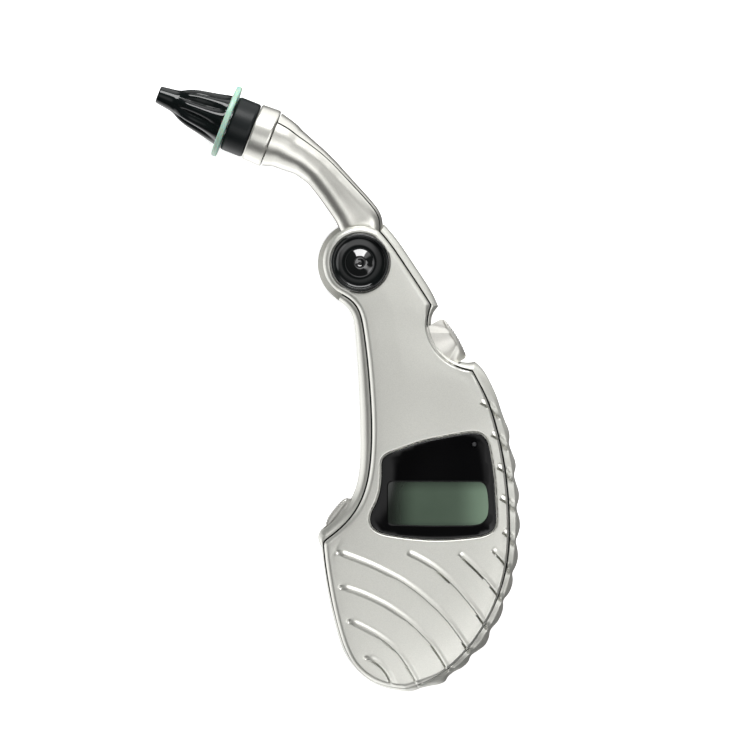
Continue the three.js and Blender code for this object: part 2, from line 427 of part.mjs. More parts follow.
// ---- arm
{
  const centre = new THREE.CatmullRomCurve3(NECK.map(([x, y]) => new THREE.Vector3(x, y, ARM_Z)), false, 'centripetal');
  const neckRings = (thin, from, to, lead = 0) => {
    const rings = [];
    const steps = 12;
    for (let k = 0; k <= steps; k += 1) {
      const t = from + (to - from) * k / steps;
      const c = centre.getPoint(t), d = centre.getTangent(t);
      // The collar end is square to the probe's axis.
      const probeTurn = THREE.MathUtils.degToRad(PROBE_DEG);
      if (k === 0) c.addScaledVector(d.set(Math.sin(probeTurn), -Math.cos(probeTurn), 0), -lead);
      const f = t * (NECK.length - 1), i = Math.min(NECK.length - 2, Math.floor(f)), w = f - i;
      const hw = NECK[i][2] + (NECK[i + 1][2] - NECK[i][2]) * w - thin;
      const hd = NECK[i][3] + (NECK[i + 1][3] - NECK[i][3]) * w - thin;
      const loop = [];
      for (let a = 0; a < 16; a += 1) {
        const q = (a / 16) * 2 * Math.PI, cq = Math.cos(q), sq = Math.sin(q);
        const p = 0.82;
        const u = Math.sign(cq) * Math.abs(cq) ** p * hw, v = Math.sign(sq) * Math.abs(sq) ** p * hd;
        loop.push([c.x - d.y * u, c.y + d.x * u, c.z + v]);
      }
      rings.push({ loop, c, d });
    }
    const flat = (p) => {
      // Cap plane: across the arm and up.
      const e = rings.find((r) => r.loop.includes(p));
      return new THREE.Vector2((p[0] - e.c.x) * -e.d.y + (p[1] - e.c.y) * e.d.x, p[2]);
    };
    return solid(loft(rings.map((r) => r.loop), flat));
  };
  let s = neckRings(0, 0, 1).add(solid(turned([[0, -HUB_HALF], [HUB_R - 0.4, -HUB_HALF], [HUB_R, 0.4 - HUB_HALF], [HUB_R, HUB_HALF - 0.4], [HUB_R - 0.4, HUB_HALF], [0, HUB_HALF]], 32).translate(...PIVOT, ARM_Z)));
  s = s.subtract(neckRings(1.8, 0, 0.8, 1));
  s = s.subtract(solid(disc(...PIVOT, PIN_R + 0.12, 0, 24, 28)));
  const rearHalf = solid(block(-60, 60, 0, 120, -10, ARM_Z - 0.12));
  const frontHalf = solid(block(-60, 60, 0, 120, ARM_Z + 0.12, 40));
  let back = s.intersect(rearHalf), fore = s.intersect(frontHalf);
  ARM_SCREWS.forEach(([x, y]) => {
    back = back.subtract(solid(disc(x, y, 2.0, 5, 8.8, 16))).subtract(solid(disc(x, y, 1.15, 5, 14, 14)));
    fore = fore.subtract(solid(disc(x, y, 1.05, 10, 15.5, 14)));
  });
  add('arm_rear_shell', fromSolid(back), 'silver');
  add('arm_front_shell', fromSolid(fore), 'silver');
  ARM_SCREWS.forEach(([x, y], i) => {
    add(`arm_screw_${i + 1}`, turned([[0, 7.9], [0.7, 7.3], [1.7, 7.4], [1.7, 8.5], [0.9, 8.5], [0.9, 14.8], [0, 15.2]], 12).translate(x, y, 0), 'steel');
  });
  const run = NECK.slice(1, 9).map(([x, y]) => [x, y, ARM_Z]);
  add('sensor_lead_arm', bar([[-30.0, 81.02, ARM_Z], [-24, 78.65, ARM_Z], ...run.slice(0, 8)], 0.9, 8, 2), 'lead');
}

// ---- probe, turned on its own axis; the tip face is at y = 0 and y falls
// towards the collar
{
  const probe = new THREE.Group();
  probe.position.set(TIP[0], TIP[1], ARM_Z);
  probe.rotation.z = THREE.MathUtils.degToRad(PROBE_DEG);
  model.add(probe);
  const onAxis = (profile, steps = 36) => new THREE.LatheGeometry(profile.map(([r, s]) => new THREE.Vector2(r, -s)).reverse(), steps);
  const close = (profile) => [...profile, profile[0]];

  // Fluted cone: radius along the axis and how deep its eight flutes are.
  const CONE = [[0, 2.5, 0], [0.35, 2.72, 0], [2.7, 3.1, 0], [5.9, 3.55, 0], [7.6, 4.25, 0.25], [9.0, 5.0, 0.7], [11.6, 5.75, 1.1], [14.8, 6.3, 1.2], [20.2, 7.65, 0.8], [22.1, 8.0, 0.5]];
  const loops = CONE.map(([s, r, flute]) => {
    const loop = [];
    for (let a = 0; a < 32; a += 1) {
      const q = (a / 32) * 2 * Math.PI;
      const rr = r - flute * (0.5 - 0.5 * Math.cos(8 * q));
      loop.push([rr * Math.cos(q), -s, rr * Math.sin(q)]);
    }
    return loop;
  });
  const flat = (p) => new THREE.Vector2(p[0], -p[2]);
  const cone = solid(loft(loops.slice().reverse().map((l) => l.map((p) => [p[0], p[1], -p[2]])), flat))
    .subtract(solid(onAxis([[0, -1], [1.8, -1], [1.8, 6], [3.0, 10], [4.9, 17.5], [5.2, 19.5], [5.2, 24], [0, 24]], 28)));
  add('probe_cone', fromSolid(cone), 'black', probe);
  add('ear_stop_ring', onAxis(close([[5.8, 22.4], [11.1, 22.4], [RING_R, 22.8], [RING_R, 23.7], [11.1, 24.1], [5.8, 24.1]]), 36), 'mint', probe);
  add('probe_base_ring', onAxis(close([[5.8, 24.4], [8.3, 24.4], [BASE_R, 24.8], [BASE_R, 30.6], [8.4, 31.0], [5.8, 31.0]]), 30), 'blackSatin', probe);
  add('arm_collar', onAxis(close([[6.6, 31.3], [8.7, 31.3], [9.0, 31.6], [COLLAR_R, 36.6], [8.95, 37.1], [6.6, 37.1]]), 30), 'silver', probe);
  add('waveguide_tube', onAxis(close([[1.05, 0.95], [1.5, 0.95], [1.5, 19.6], [1.05, 19.6]]), 20), 'steel', probe);
  add('probe_lens', onAxis([[0, 0.2], [1.6, 0.2], [1.6, 0.65], [0, 0.65]], 24), 'ivory', probe);
  add('thermopile_sensor', onAxis([[0, 20.0], [4.1, 20.0], [4.1, 24.2], [4.6, 24.2], [4.6, 24.8], [0, 24.8]], 28), 'steel', probe);
  add('sensor_board', onAxis([[0, 25.1], [5.0, 25.1], [5.0, 26.3], [0, 26.3]], 28), 'board', probe);
}

// Put the origin in the middle of the footprint, at the height of the back.
model.updateMatrixWorld(true);
const box = new THREE.Box3().setFromObject(model, true);
model.position.set(-(box.min.x + box.max.x) / 2, -(box.min.y + box.max.y) / 2, -box.min.z);

export default model;
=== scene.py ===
import json
import math

import bmesh
import bpy
import numpy as np
from mathutils import Matrix, Vector
from mathutils.geometry import delaunay_2d_cdt


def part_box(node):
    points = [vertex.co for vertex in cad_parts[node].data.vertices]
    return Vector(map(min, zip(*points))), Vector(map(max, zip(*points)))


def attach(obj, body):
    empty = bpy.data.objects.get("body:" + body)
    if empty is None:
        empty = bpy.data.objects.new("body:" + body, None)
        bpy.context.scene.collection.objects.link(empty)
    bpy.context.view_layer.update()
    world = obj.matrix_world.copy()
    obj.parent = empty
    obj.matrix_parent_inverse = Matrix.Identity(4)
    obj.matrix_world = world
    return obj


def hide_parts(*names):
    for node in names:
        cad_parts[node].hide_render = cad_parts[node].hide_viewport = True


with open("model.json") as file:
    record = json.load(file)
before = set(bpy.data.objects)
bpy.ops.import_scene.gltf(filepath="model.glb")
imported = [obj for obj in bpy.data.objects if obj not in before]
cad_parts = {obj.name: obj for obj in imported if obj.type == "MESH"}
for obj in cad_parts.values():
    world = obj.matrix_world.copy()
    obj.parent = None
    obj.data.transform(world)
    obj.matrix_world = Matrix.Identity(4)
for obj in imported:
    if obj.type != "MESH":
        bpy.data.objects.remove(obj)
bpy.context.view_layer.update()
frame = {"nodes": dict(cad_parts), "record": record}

# Plan coordinates below are millimetres from the drawing's own zero. The frame
# says where that zero is: the pivot pin stands at (7.36, 38.59) in the plan.
PIVOT = np.array([7.36, 38.59])
_lo, _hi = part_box("pivot_pin")
OFF = np.array([(_lo[0] + _hi[0]) * 500 - PIVOT[0], (_lo[1] + _hi[1]) * 500 - PIVOT[1], 0.0])

ARM_Z = 12.0
PART_Z0, PART_SLOPE = 16.98, -0.0284
BELLY_Z = 12.0
SLOT_Z = (6.7, 17.8)
TIP = np.array([-55.30, 91.01])
PROBE = math.radians(68.47)
BATTERY = (25.0, -60.0)
UNIT = (42.55, -17.52)
SCAN = dict(at=(37.15, 15.5), out=(0.856, 0.517), along=(0.517, -0.856), z=(7.8, 15.7))
POWER = dict(at=(1.08, -39.85), out=(-0.743, 0.669), along=(0.669, 0.743), z=(7.4, 14.6))
SCREWS = [(17.3, 20.8), (3.33, -53.48), (43.94, -63.39), (15.11, -85.09)]
ARM_SCREWS = [(7.36, 31.3), (14.3, 36.1)]

FACE = [(-104, 24.6), (-97, 25.4), (-90, 26.05), (-80, 26.6), (-68, 26.92), (-54, 27), (-11, 27),
        (-4, 26.75), (4, 26.2), (12, 25.35), (20, 24.35), (27, 23.55), (33, 23.12), (40, 23), (64, 23)]

REAR = [
    [(14.8, 50.69), (16.82, 48.67), (18.68, 46.34), (20.38, 43.87), (22.09, 41.23), (23.79, 38.69), (25.44, 36.21), (27.11, 33.73), (28.75, 31.31), (30.24, 28.98), (31.23, 26.97), (31.7, 25.11)],
    [(31.7, 25.11), (30.36, 24.18), (29.62, 22.63), (29.28, 20.61), (29.37, 18.45), (29.99, 16.12), (31.14, 13.79), (32.78, 11.62), (34.8, 9.86), (37.12, 8.43), (39.45, 7.66), (41.46, 7.59), (43.01, 8.06)],
    [(43.01, 8.06), (44.72, 6.51), (46.27, 4.5), (47.45, 2.33), (48.5, 0.15), (49.77, -2.79), (50.92, -6.35), (52.16, -9.92), (53.34, -12.71), (53.8, -15.04), (53.61, -17.36), (54.33, -19.68), (55.35, -22.32), (55.69, -24.49), (55.16, -27.12), (55.72, -29.45), (56.53, -31.93), (56.68, -34.26), (55.94, -37.2), (56.34, -39.06), (56.9, -41.08), (56.96, -43.24), (56.4, -45.57), (55.72, -47.27), (55.97, -49.13), (56.37, -51.3), (56.25, -53.48), (55.47, -55.8), (54.58, -57.51), (54.79, -59.37), (54.48, -61.53), (53.46, -63.86), (51.85, -65.88), (51.82, -68.05), (51.26, -70.22), (50.05, -72.54), (47.82, -75.17), (47.35, -77.5), (46.11, -79.92), (44.04, -81.47), (41.77, -83.08), (40.94, -85.03), (38.92, -86.89), (36.6, -88.04), (34.64, -89.59), (33.81, -91.08), (31.76, -92.04), (29.06, -92.47), (26.27, -93.16), (24.41, -94.02), (22.24, -94.39)],
    [(22.24, -94.39), (19.76, -94.15), (16.97, -93.71), (13.87, -93.03), (11.08, -91.73), (8.14, -89.44), (5.35, -86.64), (3.18, -84.01), (1.57, -81.06), (0.64, -77.03), (-0.91, -71.45), (-2.19, -65.88), (-3.24, -59.67), (-4.11, -53.48), (-4.63, -49.6)],
    [(-4.63, -49.6), (-5.47, -47.83), (-5.72, -46.03), (-4.94, -44.39)],
    [(-4.94, -44.39), (-3.18, -42.94), (-1.01, -41.08), (1.16, -38.91), (3.33, -36.58), (4.88, -34.56), (5.81, -32.24), (6.53, -29.91), (7.05, -27.12), (7.36, -24.02), (7.46, -20), (7.46, -15.65), (7.39, -11.31), (7.27, -6.35), (7.05, -1.4), (6.8, 3.56), (6.49, 8.53), (6.18, 13.18), (5.91, 17.2), (5.56, 20.61), (5.13, 23.09), (4.36, 24.71), (2.87, 25.89), (0.7, 27.03)],
    [(0.7, 27.03), (-2.06, 29.17), (-4.17, 31.93), (-5.5, 35.15), (-5.97, 38.59), (-5.5, 42.04), (-4.17, 45.26), (-2.06, 48.02), (0.29, 49.88), (2.81, 51.12), (5.04, 51.71), (7.36, 51.92), (9.84, 51.77), (12.32, 51.37), (14.8, 50.69)],
]
FRONT = [
    [(13.1, 48.76), (14.8, 47.12), (16.66, 44.8), (18.52, 42.01), (20.38, 39.21), (22.24, 36.42), (24.1, 33.63), (25.96, 30.84), (27.82, 28.05), (29.31, 25.57)],
    [(29.31, 25.57), (28.54, 23.56), (28.01, 20.93), (27.98, 18.14), (28.69, 15.35), (29.99, 12.55), (31.85, 10.14), (34.33, 8.06), (37.12, 6.51), (39.6, 5.64), (42.18, 5.12)],
    [(42.18, 5.12), (44.56, 0.78), (46.73, -3.25), (48.03, -6.97), (49.21, -11.31), (50.39, -15.65), (51.38, -20.3), (52.16, -24.95), (52.78, -29.91), (53.24, -34.88), (53.46, -39.84), (53.55, -44.8), (53.49, -49.45), (52.93, -54.09), (52, -58.74), (50.76, -63.09), (49.06, -67.42), (47.04, -71.77), (44.56, -75.8), (41.77, -79.83), (38.36, -83.55), (34.95, -86.8), (31.54, -89.28), (28.13, -90.98), (24.41, -92.38), (21.31, -92.94)],
    [(21.31, -92.94), (17.59, -92.84), (13.87, -92.07), (10.31, -90.46), (7.21, -87.98), (4.57, -84.78), (2.62, -80.75), (1.22, -76.42), (-0.23, -70.83), (-1.47, -65.56), (-2.56, -59.67), (-3.49, -53.78), (-3.92, -48.83)],
    [(-3.92, -48.83), (-3.7, -47.74), (-2.71, -46.78)],
    [(-2.71, -46.78), (-1.01, -45.63), (1.78, -43.4), (4.26, -40.86), (6.43, -37.76), (7.98, -34.88), (9.13, -31.77), (10, -28.05), (10.62, -23.09), (10.93, -18.45), (11.02, -13.18), (10.87, -6.97), (10.46, -0.78), (10, 5.42), (9.53, 10.07), (8.91, 14.72), (8.29, 19.38), (7.67, 23.09), (7.05, 25.42), (5.97, 27.03), (4.26, 27.96), (2.09, 28.49), (0.23, 29.61)],
    [(0.23, 29.61), (-1.69, 31.25), (-3.18, 33.42), (-4.11, 35.96), (-4.42, 38.59), (-4.17, 41.23), (-3.33, 43.71), (-1.94, 45.88), (-0.08, 47.74), (2.09, 49.13), (4.57, 50.03), (7.36, 50.38), (10.15, 50.03), (13.1, 48.76)],
]
STEPS = [64, 60, 440, 110, 14, 160, 130]
WINDOW = [(13.87, -22.79), (14.18, -21.86), (15.11, -20.93), (16.66, -20.15), (19.76, -19.07), (25.96, -16.89), (32.16, -15.5), (38.36, -14.32), (40.84, -14.01), (43.01, -13.89), (44.56, -14.2), (45.8, -15.19), (46.73, -16.59), (47.35, -18.75), (48.28, -24.02), (48.69, -27.12), (49, -30.84), (49.43, -38.59), (49.52, -41.7), (49.06, -43.4), (47.66, -44.64), (45.49, -45.57), (43.01, -46.03), (38.36, -46.5), (33.71, -46.81), (29.06, -46.81), (24.41, -46.5), (19.76, -45.97), (15.11, -45.2), (12.94, -44.48), (11.39, -43.4), (10.46, -41.85), (10.31, -39.99), (10.77, -38.28), (11.7, -36.58), (12.63, -34.56), (13.35, -32.09), (13.72, -29.61), (13.87, -27.12)]
# Raised ribs on the front face: points, then 1 where a long rib starts at a small dimple, 2 where it starts plainly, 0 for a short one.
RIBS = [
    ([(0.54, -50.69), (2.71, -51.71), (5.81, -52.85), (10.46, -54.71), (15.11, -56.88), (19.76, -59.37), (22.86, -61.44), (25.96, -63.8), (29.06, -66.5), (32.16, -69.44), (35.26, -73.0), (38.36, -77.19), (40.53, -80.44)], 1),
    ([(1.47, -61.53), (4.26, -62.4), (7.36, -63.46), (10.46, -64.79), (13.56, -66.28), (16.66, -68.05), (19.76, -70.15), (22.86, -72.54), (25.96, -75.48), (29.06, -78.74), (31.54, -82.15), (34.02, -86.18)], 1),
    ([(3.95, -72.08), (6.43, -73.1), (8.91, -74.34), (12.01, -76.04), (15.11, -78.12), (17.28, -79.92), (19.76, -82.61), (21.93, -85.72), (23.48, -88.35), (24.72, -90.67)], 1),
    ([(9.22, -83.39), (11.08, -84.01), (12.94, -85.09), (14.8, -86.95), (16.04, -88.81), (16.97, -90.83)], 1),
    ([(21.62, -50.84), (24.41, -52.11), (27.51, -53.78), (30.61, -55.86), (33.71, -58.44), (36.81, -61.53), (39.91, -65.04), (43.01, -68.97), (45.8, -72.85)], 2),
    ([(37.43, -50.99), (39.91, -53.01), (43.01, -55.89), (46.11, -59.12), (48.9, -62.46), (50.3, -64.33)], 2),
    ([(47.82, -49.76), (49.83, -51.52), (51.69, -53.63), (52.78, -55.34)], 2),
    ([(51.38, -44.33), (52.62, -45.26), (53.4, -46.2)], 0),
    ([(50.45, -34.1), (52.0, -34.72), (53.1, -35.7)], 0),
    ([(49.52, -24.49), (51.07, -25.11), (52.1, -26.1)], 0),
    ([(47.66, -14.41), (49.21, -15.04), (50.4, -16.2)], 0),
    ([(44.41, -4.5), (46.27, -5.27), (47.6, -6.4)], 0),
]
NECK = [(-20.0, 77.08, 8.68, 8.5), (-17.3, 75.95, 7.9, 8.1), (-14.65, 74.25, 7.1, 7.6), (-9.69, 71.24, 5.89, 6.9), (-5.19, 67.52, 5.52, 6.4),
        (-1.63, 63.49, 5.64, 6.2), (1.78, 59.27, 5.95, 6.1), (4.75, 55.5, 6.3, 5.9), (6.7, 52.6, 6.75, 5.7), (7.75, 50.6, 6.85, 5.6), (8.1, 48.2, 6.2, 5.0), (8.1, 45.5, 4.4, 4.85)]


# ------------------------------------------------------------ plan geometry
def catmull(points, per=24, closed=False):
    """Dense points on a smooth curve through the given ones."""
    p = np.array(points, float)
    n = len(p)
    if closed:
        ext = np.vstack([p[-1:], p, p[:2]])
        spans = n
    else:
        ext = np.vstack([2 * p[:1] - p[1:2], p, 2 * p[-1:] - p[-2:-1]])
        spans = n - 1
    t = np.linspace(0, 1, per, endpoint=False)[:, None]
    out = []
    for i in range(spans):
        a, b, c, d = ext[i], ext[i + 1], ext[i + 2], ext[i + 3]
        out.append(0.5 * (2 * b + (c - a) * t + (2 * a - 5 * b + 4 * c - d) * t ** 2 + (3 * b - a - 3 * c + d) * t ** 3))
    out = np.vstack(out)
    return out if closed else np.vstack([out, p[-1:]])


def even(points, n, closed=False):
    """n equal steps along a line of points (n + 1 points when open, n when closed)."""
    p = np.vstack([points, points[:1]]) if closed else np.array(points)
    s = np.concatenate([[0], np.cumsum(np.linalg.norm(np.diff(p, axis=0), axis=1))])
    t = np.linspace(0, s[-1], n + 1)
    q = np.stack([np.interp(t, s, p[:, k]) for k in range(p.shape[1])], axis=1)
    return q[:-1] if closed else q


def soften(points, sigma, closed=False):
    """Evens out listed points along a run, holding its ends."""
    if sigma <= 0:
        return points
    r = int(math.ceil(sigma * 3))
    w = np.exp(-0.5 * (np.arange(-r, r + 1) / sigma) ** 2)
    w /= w.sum()
    if closed:
        ext = np.vstack([points[-r:], points, points[:r]])
    else:
        ext = np.vstack([2 * points[0] - points[1:r + 1][::-1], points, 2 * points[-1] - points[-r - 1:-1][::-1]])
    return np.stack([np.convolve(ext[:, k], w, mode="valid") for k in range(points.shape[1])], axis=1)


def outline(stretches, sigmas):
    run = []
    for stretch, steps, sigma in zip(stretches, STEPS, sigmas):
        q = even(catmull(stretch), steps)
        run.append(soften(q, sigma)[:-1])
    p = np.vstack(run)
    area = 0.5 * np.sum(p[:, 0] * np.roll(p[:, 1], -1) - np.roll(p[:, 0], -1) * p[:, 1])
    return p if area > 0 else p[::-1].copy()


def edge_distance(poly, pts):
    """Distance from each point to a closed line."""
    a, b = poly, np.roll(poly, -1, axis=0)
    d = b - a
    ll = np.maximum((d ** 2).sum(1), 1e-12)
    best = np.full(len(pts), 1e9)
    for s in range(0, len(pts), 4000):
        q = pts[s:s + 4000]
        rel = q[:, None, :] - a[None]
        t = np.clip((rel * d[None]).sum(2) / ll[None], 0, 1)
        best[s:s + 4000] = np.sqrt((((rel - t[..., None] * d[None]) ** 2).sum(2)).min(1))
    return best


def inside(poly, pts):
    x, y = pts[:, 0], pts[:, 1]
    a, b = poly, np.roll(poly, -1, axis=0)
    hit = np.zeros(len(pts), bool)
    for (ax, ay), (bx, by) in zip(a, b):
        cond = (ay > y) != (by > y)
        if abs(by - ay) > 1e-12:
            hit ^= cond & (x < (bx - ax) * (y - ay) / (by - ay) + ax)
    return hit


def inset(poly, d):
    """A closed line moved inwards by d, point for point, with tight corners mended."""
    if d == 0:
        return poly.copy()
    t = np.roll(poly, -1, axis=0) - np.roll(poly, 1, axis=0)
    t /= np.maximum(np.linalg.norm(t, axis=1)[:, None], 1e-9)
    raw = poly + np.stack([-t[:, 1], t[:, 0]], axis=1) * d
    good = edge_distance(poly, raw) > abs(d) * 0.985 - 1e-6
    n = len(poly)
    idx = np.arange(n)
    for _ in range(8):
        moved = raw.copy()
        g = idx[good]
        if 0 < len(g) < n:
            for k in range(2):
                moved[:, k] = np.interp(idx, np.concatenate([g - n, g, g + n]), np.tile(raw[g, k], 3))
        # A step that runs against the original line means that the corner is still folded over.
        step = np.roll(moved, -1, axis=0) - moved
        was = np.roll(poly, -1, axis=0) - poly
        back = ((step * was).sum(1) <= 0.04 * (was ** 2).sum(1)) | (np.linalg.norm(step, axis=1) < 0.012)
        crossed = np.zeros(n, bool)
        near = idx[~(np.roll(good, 2) & np.roll(good, -2) & good)]
        a, b = moved, np.roll(moved, -1, axis=0)
        for i in near:
            j = (i + 2 + np.arange(40)) % n
            r, q = b[i] - a[i], b[j] - a[j]
            den = r[0] * q[:, 1] - r[1] * q[:, 0]
            den = np.where(abs(den) < 1e-12, 1e-12, den)
            w = a[j] - a[i]
            u = (w[:, 0] * q[:, 1] - w[:, 1] * q[:, 0]) / den
            v = (w[:, 0] * r[1] - w[:, 1] * r[0]) / den
            hit = np.where((u >= 0) & (u <= 1) & (v >= 0) & (v <= 1))[0]
            if len(hit):
                crossed[(i + np.arange(0, hit[-1] + 4)) % n] = True
        bad = (back & ~good) | crossed
        if not bad.any():
            break
        good &= ~(bad | np.roll(bad, 1) | np.roll(bad, -1))
    return moved


def below(poly, ymax, count=220, across=24):
    """The part of a closed line under ymax, closed straight across, as count + across even points."""
    n = len(poly)
    under = poly[:, 1] <= ymax
    start = max(range(n), key=lambda i: 0 if not under[i] or under[i - 1] else next((k for k in range(n) if not under[(i + k) % n]), n))
    run = []
    k = start
    while under[k % n] and len(run) < n:
        run.append(poly[k % n])
        k += 1
    def cross(a, b):
        t = (ymax - a[1]) / (b[1] - a[1])
        return a + t * (b - a)
    first, last = cross(poly[start - 1], poly[start]), cross(poly[(k - 1) % n], poly[k % n])
    run = np.array([first] + run + [last])
    return np.vstack([even(run, count)[:-1], even(np.array([last, first]), across)[:-1]])


def face_z(y):
    ys, zs = zip(*FACE)
    fine = np.interp(np.linspace(-104, 64, 337), ys, zs)
    w = np.exp(-0.5 * (np.arange(-12, 13) / 5.0) ** 2)
    w /= w.sum()
    fine = np.convolve(np.pad(fine, 12, mode="edge"), w, mode="valid")
    return np.interp(y, np.linspace(-104, 64, 337), fine)


def part_z(y):
    return PART_Z0 + PART_SLOPE * np.asarray(y)


rear = outline(REAR, [7, 4, 1.6, 6, 1.5, 6, 6])
rear_plain = outline(REAR, [7, 4, 34, 6, 1.5, 6, 6])
front = outline(FRONT, [8, 5, 18, 7, 1.5, 7, 6])
window = soften(even(catmull(WINDOW, closed=True), 260, closed=True), 2.0, closed=True)
if np.sum(window[:, 0] * np.roll(window[:, 1], -1) - np.roll(window[:, 0], -1) * window[:, 1]) < 0:
    window = window[::-1].copy()
POCKET = inset(window, -0.25)
# The parting gap: its width all round, faint along the lower left where the shells meet almost flush.
_left = (front[:, 0] < 20) & (front[:, 1] < -52)
_fade = np.where(_left, np.clip((-58 - front[:, 1]) / 14, 0, 1), 0.0)
_low = np.clip((-84 - front[:, 1]) / 6, 0, 1) * (front[:, 0] < 30)
_right = 0.8 * np.clip((-56 - front[:, 1]) / 14, 0, 1) * (front[:, 0] >= 30)
GAP = soften((1 - 0.62 * np.maximum(np.maximum(_fade, _low), _right))[:, None], 6, closed=True)[:, 0]
CAP_HOLE = 9.25


# ------------------------------------------------------------- mesh helpers
def make(name, verts, faces):
    me = bpy.data.meshes.new(name)
    me.from_pydata([tuple(v) for v in np.asarray(verts, float)], [], [tuple(int(i) for i in f) for f in faces])
    me.update()
    o = bpy.data.objects.new(name, me)
    bpy.context.scene.collection.objects.link(o)
    return o


def loft(rings, close_ring=True, caps=True):
    """verts, faces through a stack of equal rings; counter-clockwise rings rising give outward faces."""
    n = len(rings[0])
    verts = np.vstack(rings)
    faces = []
    last = n if close_ring else n - 1
    for k in range(len(rings) - 1):
        a = k * n
        for i in range(last):
            j = (i + 1) % n
            faces.append((a + i, a + j, a + n + j, a + n + i))
    if caps:
        faces.append(tuple(range(n - 1, -1, -1)))
        faces.append(tuple((len(rings) - 1) * n + i for i in range(n)))
    return verts, faces


def lathe(profile, steps=96, closed=False):
    """Turned about +Z. profile is (r, z) from the bottom round the outside to the top; closed joins it to itself."""
    verts, rows, faces = [], [], []
    for r, z in profile:
        if r < 1e-6 and not closed:
            rows.append([len(verts)])
            verts.append((0, 0, z))
        else:
            rows.append(list(range(len(verts), len(verts) + steps)))
            for i in range(steps):
                a = 2 * math.pi * i / steps
                verts.append((r * math.cos(a), r * math.sin(a), z))
    pairs = list(zip(rows, rows[1:])) + ([(rows[-1], rows[0])] if closed else [])
    for lo, hi in pairs:
        for i in range(steps):
            j = (i + 1) % steps
            if len(lo) == 1:
                faces.append((lo[0], hi[j], hi[i]))
            elif len(hi) == 1:
                faces.append((lo[i], lo[j], hi[0]))
            else:
                faces.append((lo[i], lo[j], hi[j], hi[i]))
    return np.array(verts), faces


def rounded(points, radius, n=5):
    """An open or closed profile with its listed corners rounded: points are (r, z) or (r, z, corner radius)."""
    out = []
    m = len(points)
    for i, p in enumerate(points):
        rad = p[2] if len(p) > 2 else radius
        if i in (0, m - 1) or rad <= 0:
            out.append((p[0], p[1]))
            continue
        a, b, c = np.array(points[i - 1][:2], float), np.array(p[:2], float), np.array(points[(i + 1) % m][:2], float)
        u, v = a - b, c - b
        lu, lv = np.linalg.norm(u), np.linalg.norm(v)
        u, v = u / lu, v / lv
        half = math.acos(max(-1, min(1, float(u @ v)))) / 2
        if half > math.radians(88):
            out.append((p[0], p[1]))
            continue
        back = min(rad / math.tan(half), 0.48 * lu, 0.48 * lv)
        s, e = b + u * back, b + v * back
        for k in range(n + 1):
            t = k / n
            q = (1 - t) ** 2 * s + 2 * t * (1 - t) * b + t ** 2 * e
            out.append((float(q[0]), float(q[1])))
    return out


def prism(poly, z0, z1):
    poly = np.asarray(poly, float)
    lo = np.column_stack([poly, np.full(len(poly), float(z0))])
    hi = np.column_stack([poly, np.full(len(poly), float(z1))])
    return loft([lo, hi])


def cylinder(x, y, r, z0, z1, steps=64):
    a = np.linspace(0, 2 * math.pi, steps, endpoint=False)
    return prism(np.column_stack([x + r * np.cos(a), y + r * np.sin(a)]), z0, z1)


def open_edges(me):
    bm = bmesh.new()
    bm.from_mesh(me)
    bad = sum(len(e.link_faces) != 2 for e in bm.edges)
    bm.free()
    return bad


def cut(o, geometry, operation="DIFFERENCE"):
    tool = make("tool", *geometry)
    before = len(o.data.polygons)
    for solver in ("MANIFOLD", "EXACT"):
        m = o.modifiers.new("b", "BOOLEAN")
        m.operation, m.object, m.solver = operation, tool, solver
        bpy.context.view_layer.update()
        dg = bpy.context.evaluated_depsgraph_get()
        me = bpy.data.meshes.new_from_object(o.evaluated_get(dg))
        o.modifiers.clear()
        if len(me.polygons) > 0.3 * before and (len(me.polygons) != before or solver == "EXACT"):
            o.data = me
            break
        bpy.data.meshes.remove(me)
    else:
        print("BOOLEAN LEFT ALONE", o.name)
    bpy.data.objects.remove(tool)
    return o


def buttonpoly(f, uv):
    at, out, along = np.array(f["at"]), np.array(f["out"]), np.array(f["along"])
    p = np.array([at + u * out + v * along for u, v in uv])
    area = np.sum(p[:, 0] * np.roll(p[:, 1], -1) - np.roll(p[:, 0], -1) * p[:, 1])
    return p if area > 0 else p[::-1].copy()


def finish_piece(o, material, body, slot, *nodes, angle=34, matrix=None):
    """Puts a millimetre mesh in the frame, shades it and ties it to its body."""
    me = o.data
    bad = open_edges(me)
    if bad:
        print("OPEN EDGES", o.name, bad)
    bm = bmesh.new()
    bm.from_mesh(me)
    bmesh.ops.remove_doubles(bm, verts=bm.verts, dist=1e-4)
    bmesh.ops.dissolve_degenerate(bm, edges=bm.edges, dist=1e-4)
    loose = [v for v in bm.verts if not v.link_faces]
    if loose:
        bmesh.ops.delete(bm, geom=loose, context="VERTS")
    bmesh.ops.recalc_face_normals(bm, faces=bm.faces)
    for f in bm.faces:
        f.smooth = True
    limit = math.radians(angle)
    for e in bm.edges:
        e.smooth = not (len(e.link_faces) == 2 and e.calc_face_angle(0) > limit)
    bm.to_mesh(me)
    bm.free()
    if matrix is not None:
        me.transform(matrix)
    me.transform(Matrix.Translation(Vector(OFF)))
    me.transform(Matrix.Scale(0.001, 4))
    me.update()
    mats = material if isinstance(material, (list, tuple)) else [material]
    if len(me.materials) == 0:
        for m in mats:
            me.materials.append(m)
    else:
        for i, m in enumerate(mats):
            if i < len(me.materials):
                me.materials[i] = m
            else:
                me.materials.append(m)
    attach(o, body)
    if nodes:
        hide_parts(*nodes)
    return o


